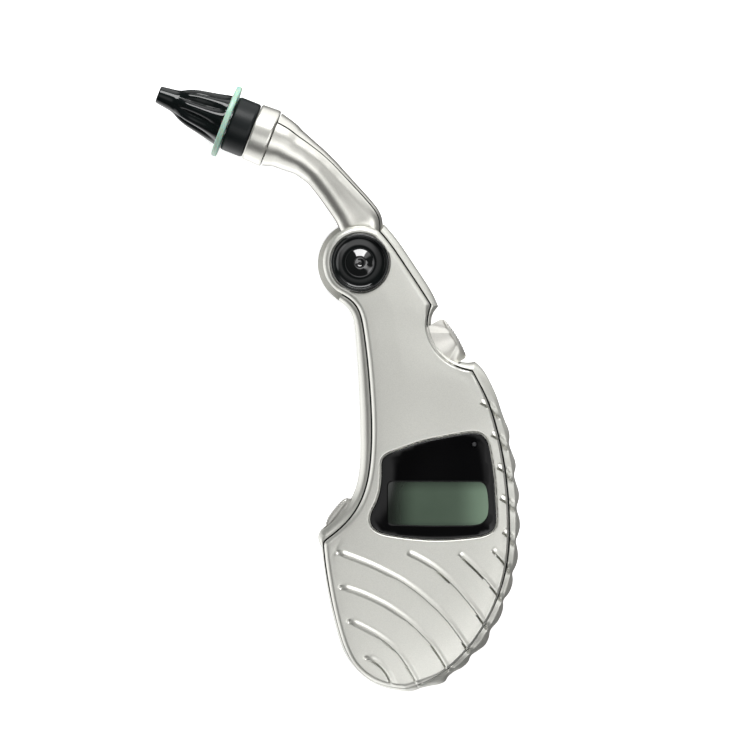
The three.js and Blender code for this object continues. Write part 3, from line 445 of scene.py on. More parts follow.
def skin(verts, faces, edge, height, points):
    """Closes the last ring of a loft with a mesh through the given points at height(points)."""
    n = len(edge)
    co, _, tri, origin, _, _ = delaunay_2d_cdt([Vector(p) for p in np.vstack([edge, points])], [(i, (i + 1) % n) for i in range(n)], [], 1, 1e-5)
    co = np.array([(c[0], c[1]) for c in co])
    tri = np.array(tri)
    base = len(verts)
    verts = np.array(verts)
    z = height(co)
    remap, new = {}, []
    for i, c in enumerate(co):
        ring = [k for k in origin[i] if k < n]
        if ring:
            remap[i] = base - n + ring[0]
            for k in ring[1:]:
                verts[base - n + k] = verts[base - n + ring[0]]
        else:
            remap[i] = base + len(new)
            new.append((c[0], c[1], z[i]))
    if new:
        verts = np.vstack([verts, np.array(new)])
    faces = list(faces)
    area = (co[tri[:, 1], 0] - co[tri[:, 0], 0]) * (co[tri[:, 2], 1] - co[tri[:, 0], 1]) - (co[tri[:, 2], 0] - co[tri[:, 0], 0]) * (co[tri[:, 1], 1] - co[tri[:, 0], 1])
    for (a, b, c), w in zip(tri, area):
        f = (a, b, c) if w > 0 else (a, c, b)
        faces.append(tuple(remap[i] for i in f))
    faces.append(tuple(range(n - 1, -1, -1)))
    return verts, faces, (co, tri)


def lattice(edge, step, gap=0.55):
    lo, hi = edge.min(0), edge.max(0)
    gx, gy = np.meshgrid(np.arange(lo[0], hi[0], step), np.arange(lo[1], hi[1], step * 0.866))
    gx = gx + (np.arange(gx.shape[0]) % 2)[:, None] * step / 2
    grid = np.column_stack([gx.ravel(), gy.ravel()])
    grid = grid[inside(edge, grid)]
    return grid[edge_distance(edge, grid) > step * gap]


def weld(o):
    """Joins coincident points and clears anything that is left loose or flat."""
    bm = bmesh.new()
    bm.from_mesh(o.data)
    bmesh.ops.remove_doubles(bm, verts=bm.verts, dist=2e-5)
    flat = [f for f in bm.faces if f.calc_area() < 1e-9]
    if flat:
        bmesh.ops.dissolve_degenerate(bm, edges=bm.edges, dist=1e-6)
    holes = [e for e in bm.edges if len(e.link_faces) == 1]
    if holes:
        bmesh.ops.holes_fill(bm, edges=holes, sides=12)
    loose = [v for v in bm.verts if not v.link_faces]
    if loose:
        bmesh.ops.delete(bm, geom=loose, context="VERTS")
    bm.to_mesh(o.data)
    bm.free()
    return o


# ---------------------------------------------------------------- materials
def surface(name, base, rough, metallic=0.0, coat=0.0, coat_rough=0.05, ior=1.5, vary=0.04, vary_scale=60.0,
            grain=0.0, grain_scale=5000.0, rough_vary=0.04, specular=0.5, **extra):
    m = bpy.data.materials.new(name)
    m.use_nodes = True
    nt = m.node_tree
    nt.nodes.clear()
    out = nt.nodes.new("ShaderNodeOutputMaterial")
    b = nt.nodes.new("ShaderNodeBsdfPrincipled")
    nt.links.new(b.outputs[0], out.inputs[0])
    b.inputs["Metallic"].default_value = metallic
    b.inputs["Coat Weight"].default_value = coat
    b.inputs["Coat Roughness"].default_value = coat_rough
    b.inputs["IOR"].default_value = ior
    b.inputs["Specular IOR Level"].default_value = specular
    for key, value in extra.items():
        b.inputs[key.replace("_", " ")].default_value = value
    tc = nt.nodes.new("ShaderNodeTexCoord")
    n1 = nt.nodes.new("ShaderNodeTexNoise")
    n1.inputs["Scale"].default_value = vary_scale
    n1.inputs["Detail"].default_value = 4
    nt.links.new(tc.outputs["Object"], n1.inputs["Vector"])
    ramp = nt.nodes.new("ShaderNodeValToRGB")
    ramp.color_ramp.elements[0].position = 0.3
    ramp.color_ramp.elements[1].position = 0.7
    ramp.color_ramp.elements[0].color = [*(c * (1 - vary) for c in base), 1]
    ramp.color_ramp.elements[1].color = [*(min(1, c * (1 + vary)) for c in base), 1]
    nt.links.new(n1.outputs["Fac"], ramp.inputs["Fac"])
    nt.links.new(ramp.outputs["Color"], b.inputs["Base Color"])
    mr = nt.nodes.new("ShaderNodeMapRange")
    mr.inputs["From Min"].default_value = 0.3
    mr.inputs["From Max"].default_value = 0.7
    mr.inputs["To Min"].default_value = max(0.0, rough - rough_vary)
    mr.inputs["To Max"].default_value = min(1.0, rough + rough_vary)
    nt.links.new(n1.outputs["Fac"], mr.inputs["Value"])
    nt.links.new(mr.outputs["Result"], b.inputs["Roughness"])
    if grain:
        n2 = nt.nodes.new("ShaderNodeTexNoise")
        n2.inputs["Scale"].default_value = grain_scale
        n2.inputs["Detail"].default_value = 2
        nt.links.new(tc.outputs["Object"], n2.inputs["Vector"])
        bump = nt.nodes.new("ShaderNodeBump")
        bump.inputs["Strength"].default_value = grain
        bump.inputs["Distance"].default_value = 0.00004
        nt.links.new(n2.outputs["Fac"], bump.inputs["Height"])
        nt.links.new(bump.outputs["Normal"], b.inputs["Normal"])
        m["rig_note"] = "fine grain"
    return m


def pearl(name, base, rough=0.42, metallic=0.78):
    """Satin silver paint: fine metal flake over a warm grey base, a thin clear coat."""
    m = surface(name, base, rough, metallic=metallic, coat=0.12, coat_rough=0.2, vary=0.012, vary_scale=35.0,
                grain=0.10, grain_scale=9000.0, rough_vary=0.025)
    nt = m.node_tree
    b = next(n for n in nt.nodes if n.type == "BSDF_PRINCIPLED")
    tc = next(n for n in nt.nodes if n.type == "TEX_COORD")
    base_link = b.inputs["Base Color"].links[0].from_socket
    v = nt.nodes.new("ShaderNodeTexVoronoi")
    v.inputs["Scale"].default_value = 7000.0
    nt.links.new(tc.outputs["Object"], v.inputs["Vector"])
    fleck = nt.nodes.new("ShaderNodeMapRange")
    fleck.inputs["From Min"].default_value = 0.0
    fleck.inputs["From Max"].default_value = 1.0
    fleck.inputs["To Min"].default_value = 0.94
    fleck.inputs["To Max"].default_value = 1.05
    sep = nt.nodes.new("ShaderNodeSeparateColor")
    nt.links.new(v.outputs["Color"], sep.inputs["Color"])
    nt.links.new(sep.outputs["Red"], fleck.inputs["Value"])
    mix = nt.nodes.new("ShaderNodeMix")
    mix.data_type = "RGBA"
    mix.blend_type = "MULTIPLY"
    mix.inputs["Factor"].default_value = 1.0
    nt.links.new(base_link, mix.inputs["A"])
    nt.links.new(fleck.outputs["Result"], mix.inputs["B"])
    nt.links.new(mix.outputs["Result"], b.inputs["Base Color"])
    return m


SILVER = pearl("casing_silver", (0.638, 0.638, 0.594))
SILVER_ARM = pearl("arm_silver", (0.66, 0.655, 0.61), rough=0.31, metallic=0.84)
BUTTON = pearl("button_silver", (0.62, 0.612, 0.575), rough=0.42, metallic=0.86)
GLOSS = surface("window_black", (0.002, 0.002, 0.0022), 0.07, coat=0.2, coat_rough=0.02, specular=0.25, vary=0.2, rough_vary=0.015)
CAP = surface("cap_black", (0.004, 0.005, 0.005), 0.07, coat=0.3, coat_rough=0.03, specular=0.25, vary=0.2, rough_vary=0.02)
PROBE_BLACK = surface("probe_black", (0.004, 0.006, 0.006), 0.10, coat=0.3, coat_rough=0.05, specular=0.3, vary=0.2, rough_vary=0.03,
                      grain=0.05, grain_scale=1500)
BASE_BLACK = surface("base_ring_black", (0.005, 0.007, 0.0075), 0.42, coat=0.05, coat_rough=0.2, specular=0.2, vary=0.15, rough_vary=0.05,
                     grain=0.25, grain_scale=6000)
# The raised dome in the middle of the cap is polished brighter than the dish round it.
CAP_DOME = surface("cap_dome_black", (0.004, 0.005, 0.005), 0.07, coat=0.3, coat_rough=0.03, specular=0.95, vary=0.2, rough_vary=0.02)
MINT = surface("ring_mint", (0.33, 0.52, 0.425), 0.34, vary=0.05, vary_scale=120, rough_vary=0.04, grain=0.08,
               Subsurface_Weight=0.35, Subsurface_Scale=0.004)
LCD = surface("lcd_pane", (0.065, 0.094, 0.067), 0.16, coat=1.0, coat_rough=0.03, vary=0.10, vary_scale=45, rough_vary=0.03,
              grain=0.12, grain_scale=4000)
_nt = LCD.node_tree
_b = next(n for n in _nt.nodes if n.type == "BSDF_PRINCIPLED")
_tc = next(n for n in _nt.nodes if n.type == "TEX_COORD")
_from = _b.inputs["Base Color"].links[0].from_socket
_sep = _nt.nodes.new("ShaderNodeSeparateXYZ")
_nt.links.new(_tc.outputs["Object"], _sep.inputs[0])


def _span(socket, a, b, c, d):
    mr = _nt.nodes.new("ShaderNodeMapRange")
    mr.interpolation_type = "SMOOTHSTEP"
    for key, value in (("From Min", a), ("From Max", b), ("To Min", c), ("To Max", d)):
        mr.inputs[key].default_value = value
    _nt.links.new(socket, mr.inputs["Value"])
    return mr.outputs["Result"]


# Painted shade and painted reflection: the glass cell's colour is darkened on the left and along the top, where its
# frame would shade it, and painted paler to the right, standing in for a reflection on the curved glass.
_x0, _y0 = OFF[0] * 0.001, OFF[1] * 0.001
_lcd_painted_light = None
for _part in (_span(_sep.outputs["X"], _x0 + 0.0165, _x0 + 0.0255, 0.10, 0.92), _span(_sep.outputs["X"], _x0 + 0.0365, _x0 + 0.0465, 1.10, 2.6),
              _span(_sep.outputs["Y"], _y0 - 0.0325, _y0 - 0.0290, 1.0, 0.62), _span(_sep.outputs["Y"], _y0 - 0.0426, _y0 - 0.0412, 0.7, 1.0)):
    if _lcd_painted_light is None:
        _lcd_painted_light = _part
        continue
    _m = _nt.nodes.new("ShaderNodeMath")
    _m.operation = "MULTIPLY"
    _nt.links.new(_lcd_painted_light, _m.inputs[0])
    _nt.links.new(_part, _m.inputs[1])
    _lcd_painted_light = _m.outputs[0]
_mix = _nt.nodes.new("ShaderNodeVectorMath")
_mix.operation = "SCALE"
_nt.links.new(_from, _mix.inputs[0])
_nt.links.new(_lcd_painted_light, _mix.inputs["Scale"])
_nt.links.new(_mix.outputs[0], _b.inputs["Base Color"])
IVORY = surface("holder_ivory", (0.62, 0.60, 0.53), 0.45, vary=0.04, grain=0.15)
RUBBER = surface("rubber_black", (0.025, 0.025, 0.026), 0.7, vary=0.2, grain=0.4, grain_scale=4000)
BOARD = surface("board_green", (0.02, 0.13, 0.05), 0.38, coat=0.3, vary=0.15, vary_scale=300, grain=0.2, grain_scale=2500)
CHIP = surface("chip_black", (0.018, 0.018, 0.02), 0.5, vary=0.15, grain=0.3, grain_scale=5000)
STEEL = surface("plain_steel", (0.60, 0.60, 0.61), 0.26, metallic=1.0, vary=0.04, vary_scale=200, grain=0.1, grain_scale=3000)
LEAD = surface("lead_black", (0.02, 0.02, 0.022), 0.5, vary=0.1, grain=0.2)
LENS = surface("probe_lens", (0.35, 0.36, 0.34), 0.12, coat=1.0, coat_rough=0.03, vary=0.1)
# Painted shade: a near-black material laid on faces down in the parting groove and along the arm's seam, standing in
# for the shade there.
PAINTED_GAP_SHADE = surface("gap_painted_shade", (0.02, 0.02, 0.02), 0.7, vary=0.1)

PLAIN = {"casing_silver": SILVER, "button_silver": BUTTON, "window_black": GLOSS, "cap_black": CAP, "probe_black": PROBE_BLACK,
         "base_ring_black": BASE_BLACK, "ring_mint": MINT, "lcd": LCD, "lens": LENS, "holder_ivory": IVORY, "rubber_black": RUBBER,
         "board_green": BOARD, "chip_black": CHIP, "steel": STEEL, "lead_black": LEAD}
slot_of = {s["node"]: s["material_slot"] for s in frame["record"]["subparts"]}
for node, o in frame["nodes"].items():
    o.data.materials.clear()
    o.data.materials.append(PLAIN[slot_of[node]])


# -------------------------------------------------------------- front shell
# For each rib: how far along it the step at its foot starts, and how deep it is.
STEP_FOOT = [(0.30, 1.0), (0.42, 0.55), (0.25, 0.4), (0.0, 0.6), (0.22, 1.0), (0.0, 1.0), (0.0, 1.0)] + [(0.0, 0.9)] * 5
rib_lines = []
for k, (pts, dimple) in enumerate(RIBS):
    pts = np.array(pts)
    length = np.linalg.norm(np.diff(pts, axis=0), axis=1).sum()
    fine = even(catmull(pts), max(4, int(length / 0.4)))
    way = fine[-1] - fine[-3]
    over = fine[-1] + np.outer(np.arange(1, 9) * 0.5, way / np.linalg.norm(way))
    rib_lines.append((np.vstack([fine, over]), dimple, length, STEP_FOOT[k]))


def line_signed(line, pts):
    """Distance to a line, its sign (positive on its left) and how far along it the nearest point is."""
    a, b = line[:-1], line[1:]
    d = b - a
    ll = np.maximum((d ** 2).sum(1), 1e-12)
    run = np.concatenate([[0], np.cumsum(np.sqrt(ll))])[:-1]
    best, sign, along = np.full(len(pts), 1e9), np.ones(len(pts)), np.zeros(len(pts))
    for s in range(0, len(pts), 6000):
        q = pts[s:s + 6000]
        rel = q[:, None, :] - a[None]
        t = np.clip((rel * d[None]).sum(2) / ll[None], 0, 1)
        gap = rel - t[..., None] * d[None]
        dist = (gap ** 2).sum(2)
        k = dist.argmin(1)
        i = np.arange(len(q))
        best[s:s + 6000] = np.sqrt(dist[i, k])
        cross = d[k, 0] * rel[i, k, 1] - d[k, 1] * rel[i, k, 0]
        sign[s:s + 6000] = np.where(cross >= 0, 1.0, -1.0)
        along[s:s + 6000] = run[k] + t[i, k] * np.sqrt(ll[k])
    return best, sign, along


def smooth(x):
    x = np.clip(x, 0, 1)
    return x * x * (3 - 2 * x)


BEVEL_IN, BEVEL_DROP = 1.7, 2.3


def ribs_height(pts, scale=1.0):
    """Raised ribs: a soft rise on the left of each line, a steep step down on its right, a dimple where a long one starts."""
    h = np.zeros(len(pts))
    for line, dimple, length, (foot, deep) in rib_lines:
        lo, hi = line.min(0) - 2.6, line.max(0) + 2.6
        near = np.where(((pts > lo) & (pts < hi)).all(1))[0]
        if not len(near):
            continue
        q = pts[near]
        dist, sign, along = line_signed(line, q)
        sd = dist * sign
        rise = np.where(sd >= 0, 0.5 + 0.5 * np.cos(np.pi * np.clip(sd / (1.75 if dimple else 1.15), 0, 1)), smooth(1 + sd / (0.85 - 0.5 * deep * smooth((along / length - foot) / 0.25))))
        start = np.linalg.norm(q - line[0], axis=1)
        ease = smooth(along / (1.2, 2.6, 1.7)[dimple])
        ease = ease * np.where(start < 0.01, 0, 1)
        ridge = (0.58 if dimple else 0.66) * rise * ease
        groove = deep * smooth((along / length - foot) / 0.3) * np.exp(-((sd + 0.42) / 0.17) ** 2)
        if dimple == 0:
            groove = smooth(along / 0.6) * (0.9 * np.exp(-((sd + 0.42) / 0.19) ** 2) + 0.4 * np.exp(-((sd - 1.3) / 0.2) ** 2))
        h[near] = np.where(ridge > h[near], ridge, h[near])
        h[near] -= 1.0 * groove
        if dimple == 1:
            h[near] -= 0.42 * np.exp(-((start) / 0.55) ** 2)
    return h * scale


def face_height(pts, d=None):
    """Height of the front face: along the body and crowned across it; the ribs and softened openings are added by
    face_detail.
    """
    if d is None:
        d = edge_distance(front, pts)
    z = face_z(pts[:, 1]) - 0.85 * np.exp(-np.maximum(d - BEVEL_IN, 0) / 6.5)
    return z


def face_detail(pts):
    z = ribs_height(pts)
    w = edge_distance(POCKET, pts)
    f = 0.5
    z = z - np.where((w < f) & ~inside(POCKET, pts), f - np.sqrt(np.maximum(f * f - (f - w) ** 2, 0)), 0)
    r = np.linalg.norm(pts - PIVOT, axis=1) - CAP_HOLE
    f = 0.45
    z = z - np.where((r < f) & (r > -0.2), f - np.sqrt(np.maximum(f * f - (f - np.maximum(r, 0)) ** 2, 0)), 0)
    return z


def front_shell():
    n = len(front)
    body = front + (inset(front, 0.24) - front) * GAP[:, None]
    rings = []
    y = body[:, 1]
    lip = inset(body, 0.2)
    rings.append(np.column_stack([lip, part_z(lip[:, 1]) - 0.95]))
    rings.append(np.column_stack([body, part_z(y) - 0.75]))
    top0 = face_height(body, np.zeros(n)) - BEVEL_DROP
    low = part_z(y) - 0.75
    rings.append(np.column_stack([body, part_z(y) - 0.06]))
    for t in (0.4, 0.7):
        rings.append(np.column_stack([body, low + (top0 - low) * t]))
    turns = 11
    # The edge is crisper round the scan button's recess.
    near_scan = smooth((12.4 - np.linalg.norm(front - np.array((37.2, 15.6)), axis=1)) / 1.6)
    on_grip = smooth((front[:, 0] - 24) / 10) * smooth((8 - front[:, 1]) / 8)
    crisp = np.maximum(0.62 * near_scan, 0.55 * on_grip)
    for k in range(turns + 1):
        a = math.pi / 2 * k / turns
        d = BEVEL_IN * (1 - math.cos(a))
        p = inset(body, d)
        p = p + (body - p) * crisp[:, None]
        z = face_height(p, np.full(n, d)) - BEVEL_DROP * (1 - math.sin(a)) + ribs_height(p) * math.sin(a) ** 2
        rings.append(np.column_stack([p, z]))
    verts, faces = loft(rings, caps=False)
    edge = rings[-1][:, :2]
    # Free points inside the last ring, set out along the ribs and round the openings.
    free = []
    for line, *_ in rib_lines:
        t = np.gradient(line, axis=0)
        t /= np.linalg.norm(t, axis=1)[:, None]
        nrm = np.column_stack([-t[:, 1], t[:, 0]])
        for off in (-1.4, -1.0, -0.8, -0.65, -0.53, -0.42, -0.31, -0.19, -0.06, 0.1, 0.35, 0.65, 0.95, 1.3, 1.65, 2.0):
            free.append(line + nrm * off)
        for r in (0.2, 0.4, 0.6, 0.85, 1.2):
            a = np.linspace(0, 2 * math.pi, 14, endpoint=False)
            free.append(line[0] + r * np.column_stack([np.cos(a), np.sin(a)]))
    ribs_free = np.vstack(free)
    free = []
    for w in (0.0, 0.03, 0.1, 0.2, 0.33, 0.5, 0.85):
        p = inset(POCKET, -w)
        free.append(p[:: 1 if w < 0.6 else 2])
    for r in (0.0, 0.03, 0.1, 0.2, 0.32, 0.45, 0.7):
        a = np.linspace(0, 2 * math.pi, 120, endpoint=False)
        free.append(PIVOT + (CAP_HOLE + r) * np.column_stack([np.cos(a), np.sin(a)]))
    holes_free = np.vstack(free)
    step = 0.9
    gx, gy = np.meshgrid(np.arange(-10, 60, step), np.arange(-98, 56, step * 0.866))
    gx = gx + (np.arange(gx.shape[0]) % 2)[:, None] * step / 2
    grid = np.column_stack([gx.ravel(), gy.ravel()])
    grid = grid[inside(edge, grid)]
    keep = edge_distance(edge, grid) > 0.55
    for line, *_ in rib_lines:
        keep &= line_signed(line, grid)[0] > 2.2
    w = edge_distance(POCKET, grid)
    keep &= (w > 1.2) | inside(inset(POCKET, 1.0), grid)
    keep &= np.abs(np.linalg.norm(grid - PIVOT, axis=1) - CAP_HOLE) > 1.1
    grid = grid[keep]
    more = np.vstack([ribs_free, holes_free])
    more = more[inside(edge, more)]
    more = more[edge_distance(edge, more) > 0.22]
    # Thin out points that fall on top of each other where ribs meet.
    cell = {}
    for p in more:
        cell.setdefault((round(p[0] / 0.1), round(p[1] / 0.1)), p)
    free = np.vstack([np.array(list(cell.values())), grid])
    verts, faces, _ = skin(verts, faces, edge, lambda q: face_height(q) + face_detail(q), free)
    o = weld(make("front_shell_skin", verts, faces))
    # Hollow it, stopping short of the knuckle.
    lo, mid_, hi = (below(inset(front, d), 24.4) for d in (1.9, 2.0, 3.4))
    cut(o, loft([np.column_stack([lo, np.full(len(lo), 8.0)]), np.column_stack([mid_, np.full(len(mid_), 20.0)]),
                 np.column_stack([hi, face_z(hi[:, 1]) - 2.9])]))
    cut(o, prism(POCKET, 25.3, 34))
    cut(o, prism([(15.5, -42.8), (47.3, -42.8), (47.3, -28.3), (15.5, -28.3)], 20, 30))
    cut(o, cylinder(UNIT[0], UNIT[1], 1.15, 20, 30, 32))
    cut(o, cylinder(PIVOT[0], PIVOT[1], CAP_HOLE, 21.2, 30, 120))
    cut(o, cylinder(PIVOT[0], PIVOT[1], 2.62, 10, 30, 48))
    slot_cut(o)
    cut(o, prism(buttonpoly(SCAN, [(-11, -7.9), (6, -7.9), (6, 7.5), (-11, 7.5)]), 5, SCAN["z"][1] + 0.3))
    # Painted shade: the wall faces below the parting line get the dark gap material.
    paint_gap_shade(o, lambda c, d: (d < 0.55) & (c[:, 2] < part_z(c[:, 1]) - 0.1))
    return finish_piece(o, [SILVER, PAINTED_GAP_SHADE], "handle", "casing_silver", "front_shell")


def paint_gap_shade(o, rule):
    """Painted shade: faces down inside the parting line get a near-black material standing in for the shade in the
    groove.
    """
    c = np.array([tuple(f.center) for f in o.data.polygons])
    d = edge_distance(front, c[:, :2])
    which = rule(c, d)
    o.data.materials.clear()
    o.data.materials.append(SILVER)
    o.data.materials.append(PAINTED_GAP_SHADE)
    for i, f in enumerate(o.data.polygons):
        f.material_index = 1 if which[i] else 0


def slot_cut(o):
    a = np.radians(np.linspace(57, 240, 40))
    fan = np.vstack([PIVOT[None] + np.array([[0.0, 0.0]]), PIVOT + 24 * np.column_stack([np.cos(a), np.sin(a)])])
    cut(o, prism(fan, *SLOT_Z))
    cut(o, cylinder(PIVOT[0], PIVOT[1], 10.6, SLOT_Z[0], SLOT_Z[1], 96))


# --------------------------------------------------------------- rear shell
def rear_shell():
    # The scallops fade out towards the flat back and the parting line.
    plain = rear_plain
    rings = []
    n = len(rear)
    for k in range(11):
        a = math.pi / 2 * k / 10
        d = 4.2 * (1 - math.sin(a))
        z = 7.0 * (1 - math.cos(a))
        mix = min(1.0, k / 7.0)
        p = inset(plain * (1 - mix) + rear * mix, d)
        rings.append(np.column_stack([p, np.full(n, z)]))
    # How far each point is on the gripping side, where the shoulder is a narrow level strip.
    order = np.arange(n)
    ends = [np.argmin(np.linalg.norm(rear - np.array(q), axis=1)) for q in ((43.01, 8.06), (22.24, -94.39))]
    lo_i, hi_i = min(ends), max(ends)
    if lo_i < np.argmin(np.linalg.norm(rear - np.array((56.0, -40.0)), axis=1)) < hi_i:
        at = (order - lo_i) / (hi_i - lo_i)
    else:
        at = ((order - hi_i) % n) / ((lo_i - hi_i) % n)
    grip = smooth(at / 0.05) * smooth((1 - at) / 0.1) * ((at >= 0) & (at <= 1))
    near, far = (front + (inset(front, -w) - front) * GAP[:, None] for w in (0.27, 0.42))
    groove = near * (1 - grip[:, None]) + far * grip[:, None]
    level = part_z(groove[:, 1]) - 0.22
    wide = rear - groove
    wide_plain = rear_plain - groove
    for z in (8.6, 10.4, BELLY_Z):
        rings.append(np.column_stack([rear, np.full(n, z)]))
    steps = 12
    for k in range(1, steps + 1):
        t = k / steps
        # Rounded side elsewhere: out share falls as a quarter ellipse.
        a = math.pi / 2 * t
        out_a, rise_a = math.cos(a), math.sin(a)
        # Gripping side: upright to near the shoulder, a 45 degree bank, then the strip.
        out_b = float(np.interp(t, [0, 0.17, 0.25, 0.34, 0.5, 0.58, 0.67, 0.8, 0.9, 1.0], [1, 1, 0.985, 0.95, 0.80, 0.73, 0.66, 0.42, 0.2, 0.0]))
        rise_b = float(np.interp(t, [0, 0.17, 0.25, 0.34, 0.5, 0.58, 0.67, 0.8, 0.9, 1.0], [0, 0.42, 0.54, 0.63, 0.80, 0.86, 0.90, 0.955, 0.985, 1.0]))
        scallop = float(np.interp(t, [0, 0.3, 0.6, 1], [1, 1, 0.0, 0.0]))
        pa = groove + wide * out_a
        pb = groove + (wide * scallop + wide_plain * (1 - scallop)) * out_b
        p = pa * (1 - grip[:, None]) + pb * grip[:, None]
        rise = rise_a * (1 - grip) + rise_b * grip
        z_side = BELLY_Z + (level - BELLY_Z) * rise
        run = np.linalg.norm(wide, axis=1)
        z_edge = level - 0.33 * run * 0.73
        z_grip = level - 0.33 * run * out_b if t >= 0.57 else BELLY_Z + (z_edge - BELLY_Z) * rise_b / 0.86
        z = z_side * (1 - grip) + z_grip * grip
        if 0.6 < t < 1:
            z = z + np.clip(ribs_height(p, 0.85), -0.3, 0.5) * grip * smooth((t - 0.6) / 0.15)
        rings.append(np.column_stack([p, z]))
    edge_in = groove + (front - groove) * 0.12
    rings.append(np.column_stack([edge_in, part_z(edge_in[:, 1]) - 0.42]))
    rings.append(np.column_stack([edge_in, part_z(edge_in[:, 1]) - 1.35]))
    floor_in = inset(front, 0.8)
    rings.append(np.column_stack([floor_in, part_z(floor_in[:, 1]) - 1.4]))
    o = make("rear_shell_skin", *loft(rings))
    p0, p1, p2, p3 = (below(inset(c, d), 24.4) for c, d in ((plain, 5.0), (plain, 2.4), (plain, 2.1), (front, 1.9)))
    m = len(p0)
    cut(o, loft([np.column_stack([p0, np.full(m, 2.2)]), np.column_stack([p1, np.full(m, 6.0)]), np.column_stack([p2, np.full(m, 12.0)]),
                 np.column_stack([p3, part_z(p3[:, 1]) - 0.2]), np.column_stack([p3, np.full(m, 26.0)])]))
    bx, by = BATTERY
    cut(o, cylinder(bx, by, 15.4, 1.0, 4.4, 72), "UNION")
    cut(o, cylinder(bx, by, 13.3, -2, 2.9, 96))
    cut(o, cylinder(bx, by, 12.9, 2.5, 4.1, 96))
    cut(o, cylinder(bx, by, 11.2, 2, 10, 72))
    for x, yy in SCREWS:
        cut(o, cylinder(x, yy, 3.4, 1.0, 11.8, 32), "UNION")
        cut(o, cylinder(x, yy, 2.5, -2, 2.4, 40))
        cut(o, cylinder(x, yy, 1.35, 1, 14, 24))
    slot_cut(o)
    cut(o, cylinder(PIVOT[0], PIVOT[1], 2.62, 2.7, 8, 48))
    cut(o, prism(buttonpoly(SCAN, [(-11, -7.9), (6, -7.9), (6, 7.5), (-11, 7.5)]), SCAN["z"][0] - 0.3, SCAN["z"][1] + 0.3))
    cut(o, prism(buttonpoly(POWER, [(-6.5, -6.2), (5, -6.2), (5, 6.5), (-6.5, 6.5)]), POWER["z"][0] - 0.3, POWER["z"][1] + 0.3))
    # Painted shade: the groove faces just below the parting line get the dark gap material.
    paint_gap_shade(o, lambda c, d: (d < 0.6) & (c[:, 2] < part_z(c[:, 1]) - 0.35) & (c[:, 2] > part_z(c[:, 1]) - 1.55) & inside(groove, c[:, :2]))
    return finish_piece(o, [SILVER, PAINTED_GAP_SHADE], "handle", "casing_silver", "rear_shell")


front_piece = front_shell()
rear_piece = rear_shell()


# ------------------------------------------------------------------- window
LCD_VIEW = [(16.6, -28.9), (15.9, -29.6), (15.9, -41.6), (16.6, -42.3), (30, -42.6), (42, -42.5), (44.6, -42.15), (46.0, -41.0), (46.85, -39.4), (47.1, -37), (46.95, -33.9), (46.55, -31.2), (45.9, -29.6), (44.6, -28.9)]


def display_window():
    view = even(catmull([(16.3, -28.85)] + LCD_VIEW[1:], closed=True), 160, closed=True)
    corners = np.array(LCD_VIEW, float)
    view = soften(even(corners, 200, closed=True), 1.6, closed=True)
    if np.sum(view[:, 0] * np.roll(view[:, 1], -1) - np.roll(view[:, 0], -1) * view[:, 1]) < 0:
        view = view[::-1].copy()
    rim = inset(window, 0.1)
    n = len(rim)
    top = lambda p: face_height(p) + 0.16 + 0.10 * smooth(edge_distance(rim, p) / 5.0)
    rings = [np.column_stack([rim, np.full(n, 25.45)]), np.column_stack([rim, top(rim) - 0.34])]
    for k in range(1, 7):
        a = math.pi / 2 * k / 6
        p = inset(rim, 0.34 * (1 - math.cos(a)))
        rings.append(np.column_stack([p, top(p) - 0.34 * (1 - math.sin(a))]))
    verts, faces = loft(rings, caps=False)
    edge = rings[-1][:, :2]
    # The viewing area is set back a little behind a rounded edge.
    step = 1.3
    gx, gy = np.meshgrid(np.arange(8, 54, step), np.arange(-50, -10, step))
    grid = np.column_stack([gx.ravel(), gy.ravel()])
    grid = grid[inside(inset(edge, 0.7), grid)]
    loops = [inset(view, w) for w in (-0.22, -0.1, 0.0, 0.1)]
    near = edge_distance(view, grid)
    grid = grid[near > 0.8]
    a = np.linspace(0, 2 * math.pi, 28, endpoint=False)
    hole = np.array(UNIT) + 1.0 * np.column_stack([np.cos(a), np.sin(a)])
    hole2 = np.array(UNIT) + 1.3 * np.column_stack([np.cos(a), np.sin(a)])
    grid = grid[np.linalg.norm(grid - np.array(UNIT), axis=1) > 1.8]
    pts = np.vstack([edge] + loops + [hole, hole2, grid])
    m = len(view)
    cons = [(i, (i + 1) % n) for i in range(n)]
    s = n
    for _ in loops:
        cons += [(s + i, s + (i + 1) % m) for i in range(m)]
        s += m
    co, _, tri, _, _, _ = delaunay_2d_cdt([Vector(p) for p in pts], cons, [], 0, 1e-6)
    co = np.array([(c[0], c[1]) for c in co])
    tri = np.array(tri)
    mid = co[tri].mean(1)
    tri = tri[inside(edge, mid)]
    mid = co[tri].mean(1)
    z = top(co)
    w = edge_distance(view, co) * np.where(inside(view, co), -1, 1)
    drop = np.clip((0.22 - w) / 0.32, 0, 1)
    z = z - 0.42 * drop * drop * (3 - 2 * drop)
    base = len(verts)
    remap, new = {}, []
    for i, c in enumerate(co):
        if i < n and np.linalg.norm(c - edge[i]) < 1e-5:
            remap[i] = base - n + i
        else:
            remap[i] = base + len(new)
            new.append((c[0], c[1], z[i]))
    verts = np.vstack([verts, np.array(new)])
    pane = []
    mid_in = inside(inset(view, 0.08), mid)
    for (a_, b_, c_), inn in zip(tri, mid_in):
        area = (co[b_][0] - co[a_][0]) * (co[c_][1] - co[a_][1]) - (co[c_][0] - co[a_][0]) * (co[b_][1] - co[a_][1])
        f = (a_, b_, c_) if area > 0 else (a_, c_, b_)
        if inn:
            pane.append(len(faces))
        faces.append(tuple(remap[i] for i in f))
    faces.append(tuple(range(n - 1, -1, -1)))
    o = make("display_window_pane", verts, faces)
    o.data.materials.append(GLOSS)
    o.data.materials.append(LCD)
    for i in pane:
        o.data.polygons[i].material_index = 1
    cut(o, cylinder(UNIT[0], UNIT[1], 1.0, 20, 30, 28))
    return finish_piece(o, [GLOSS, LCD], "handle", "window_black", "display_window", angle=40)


display_window()

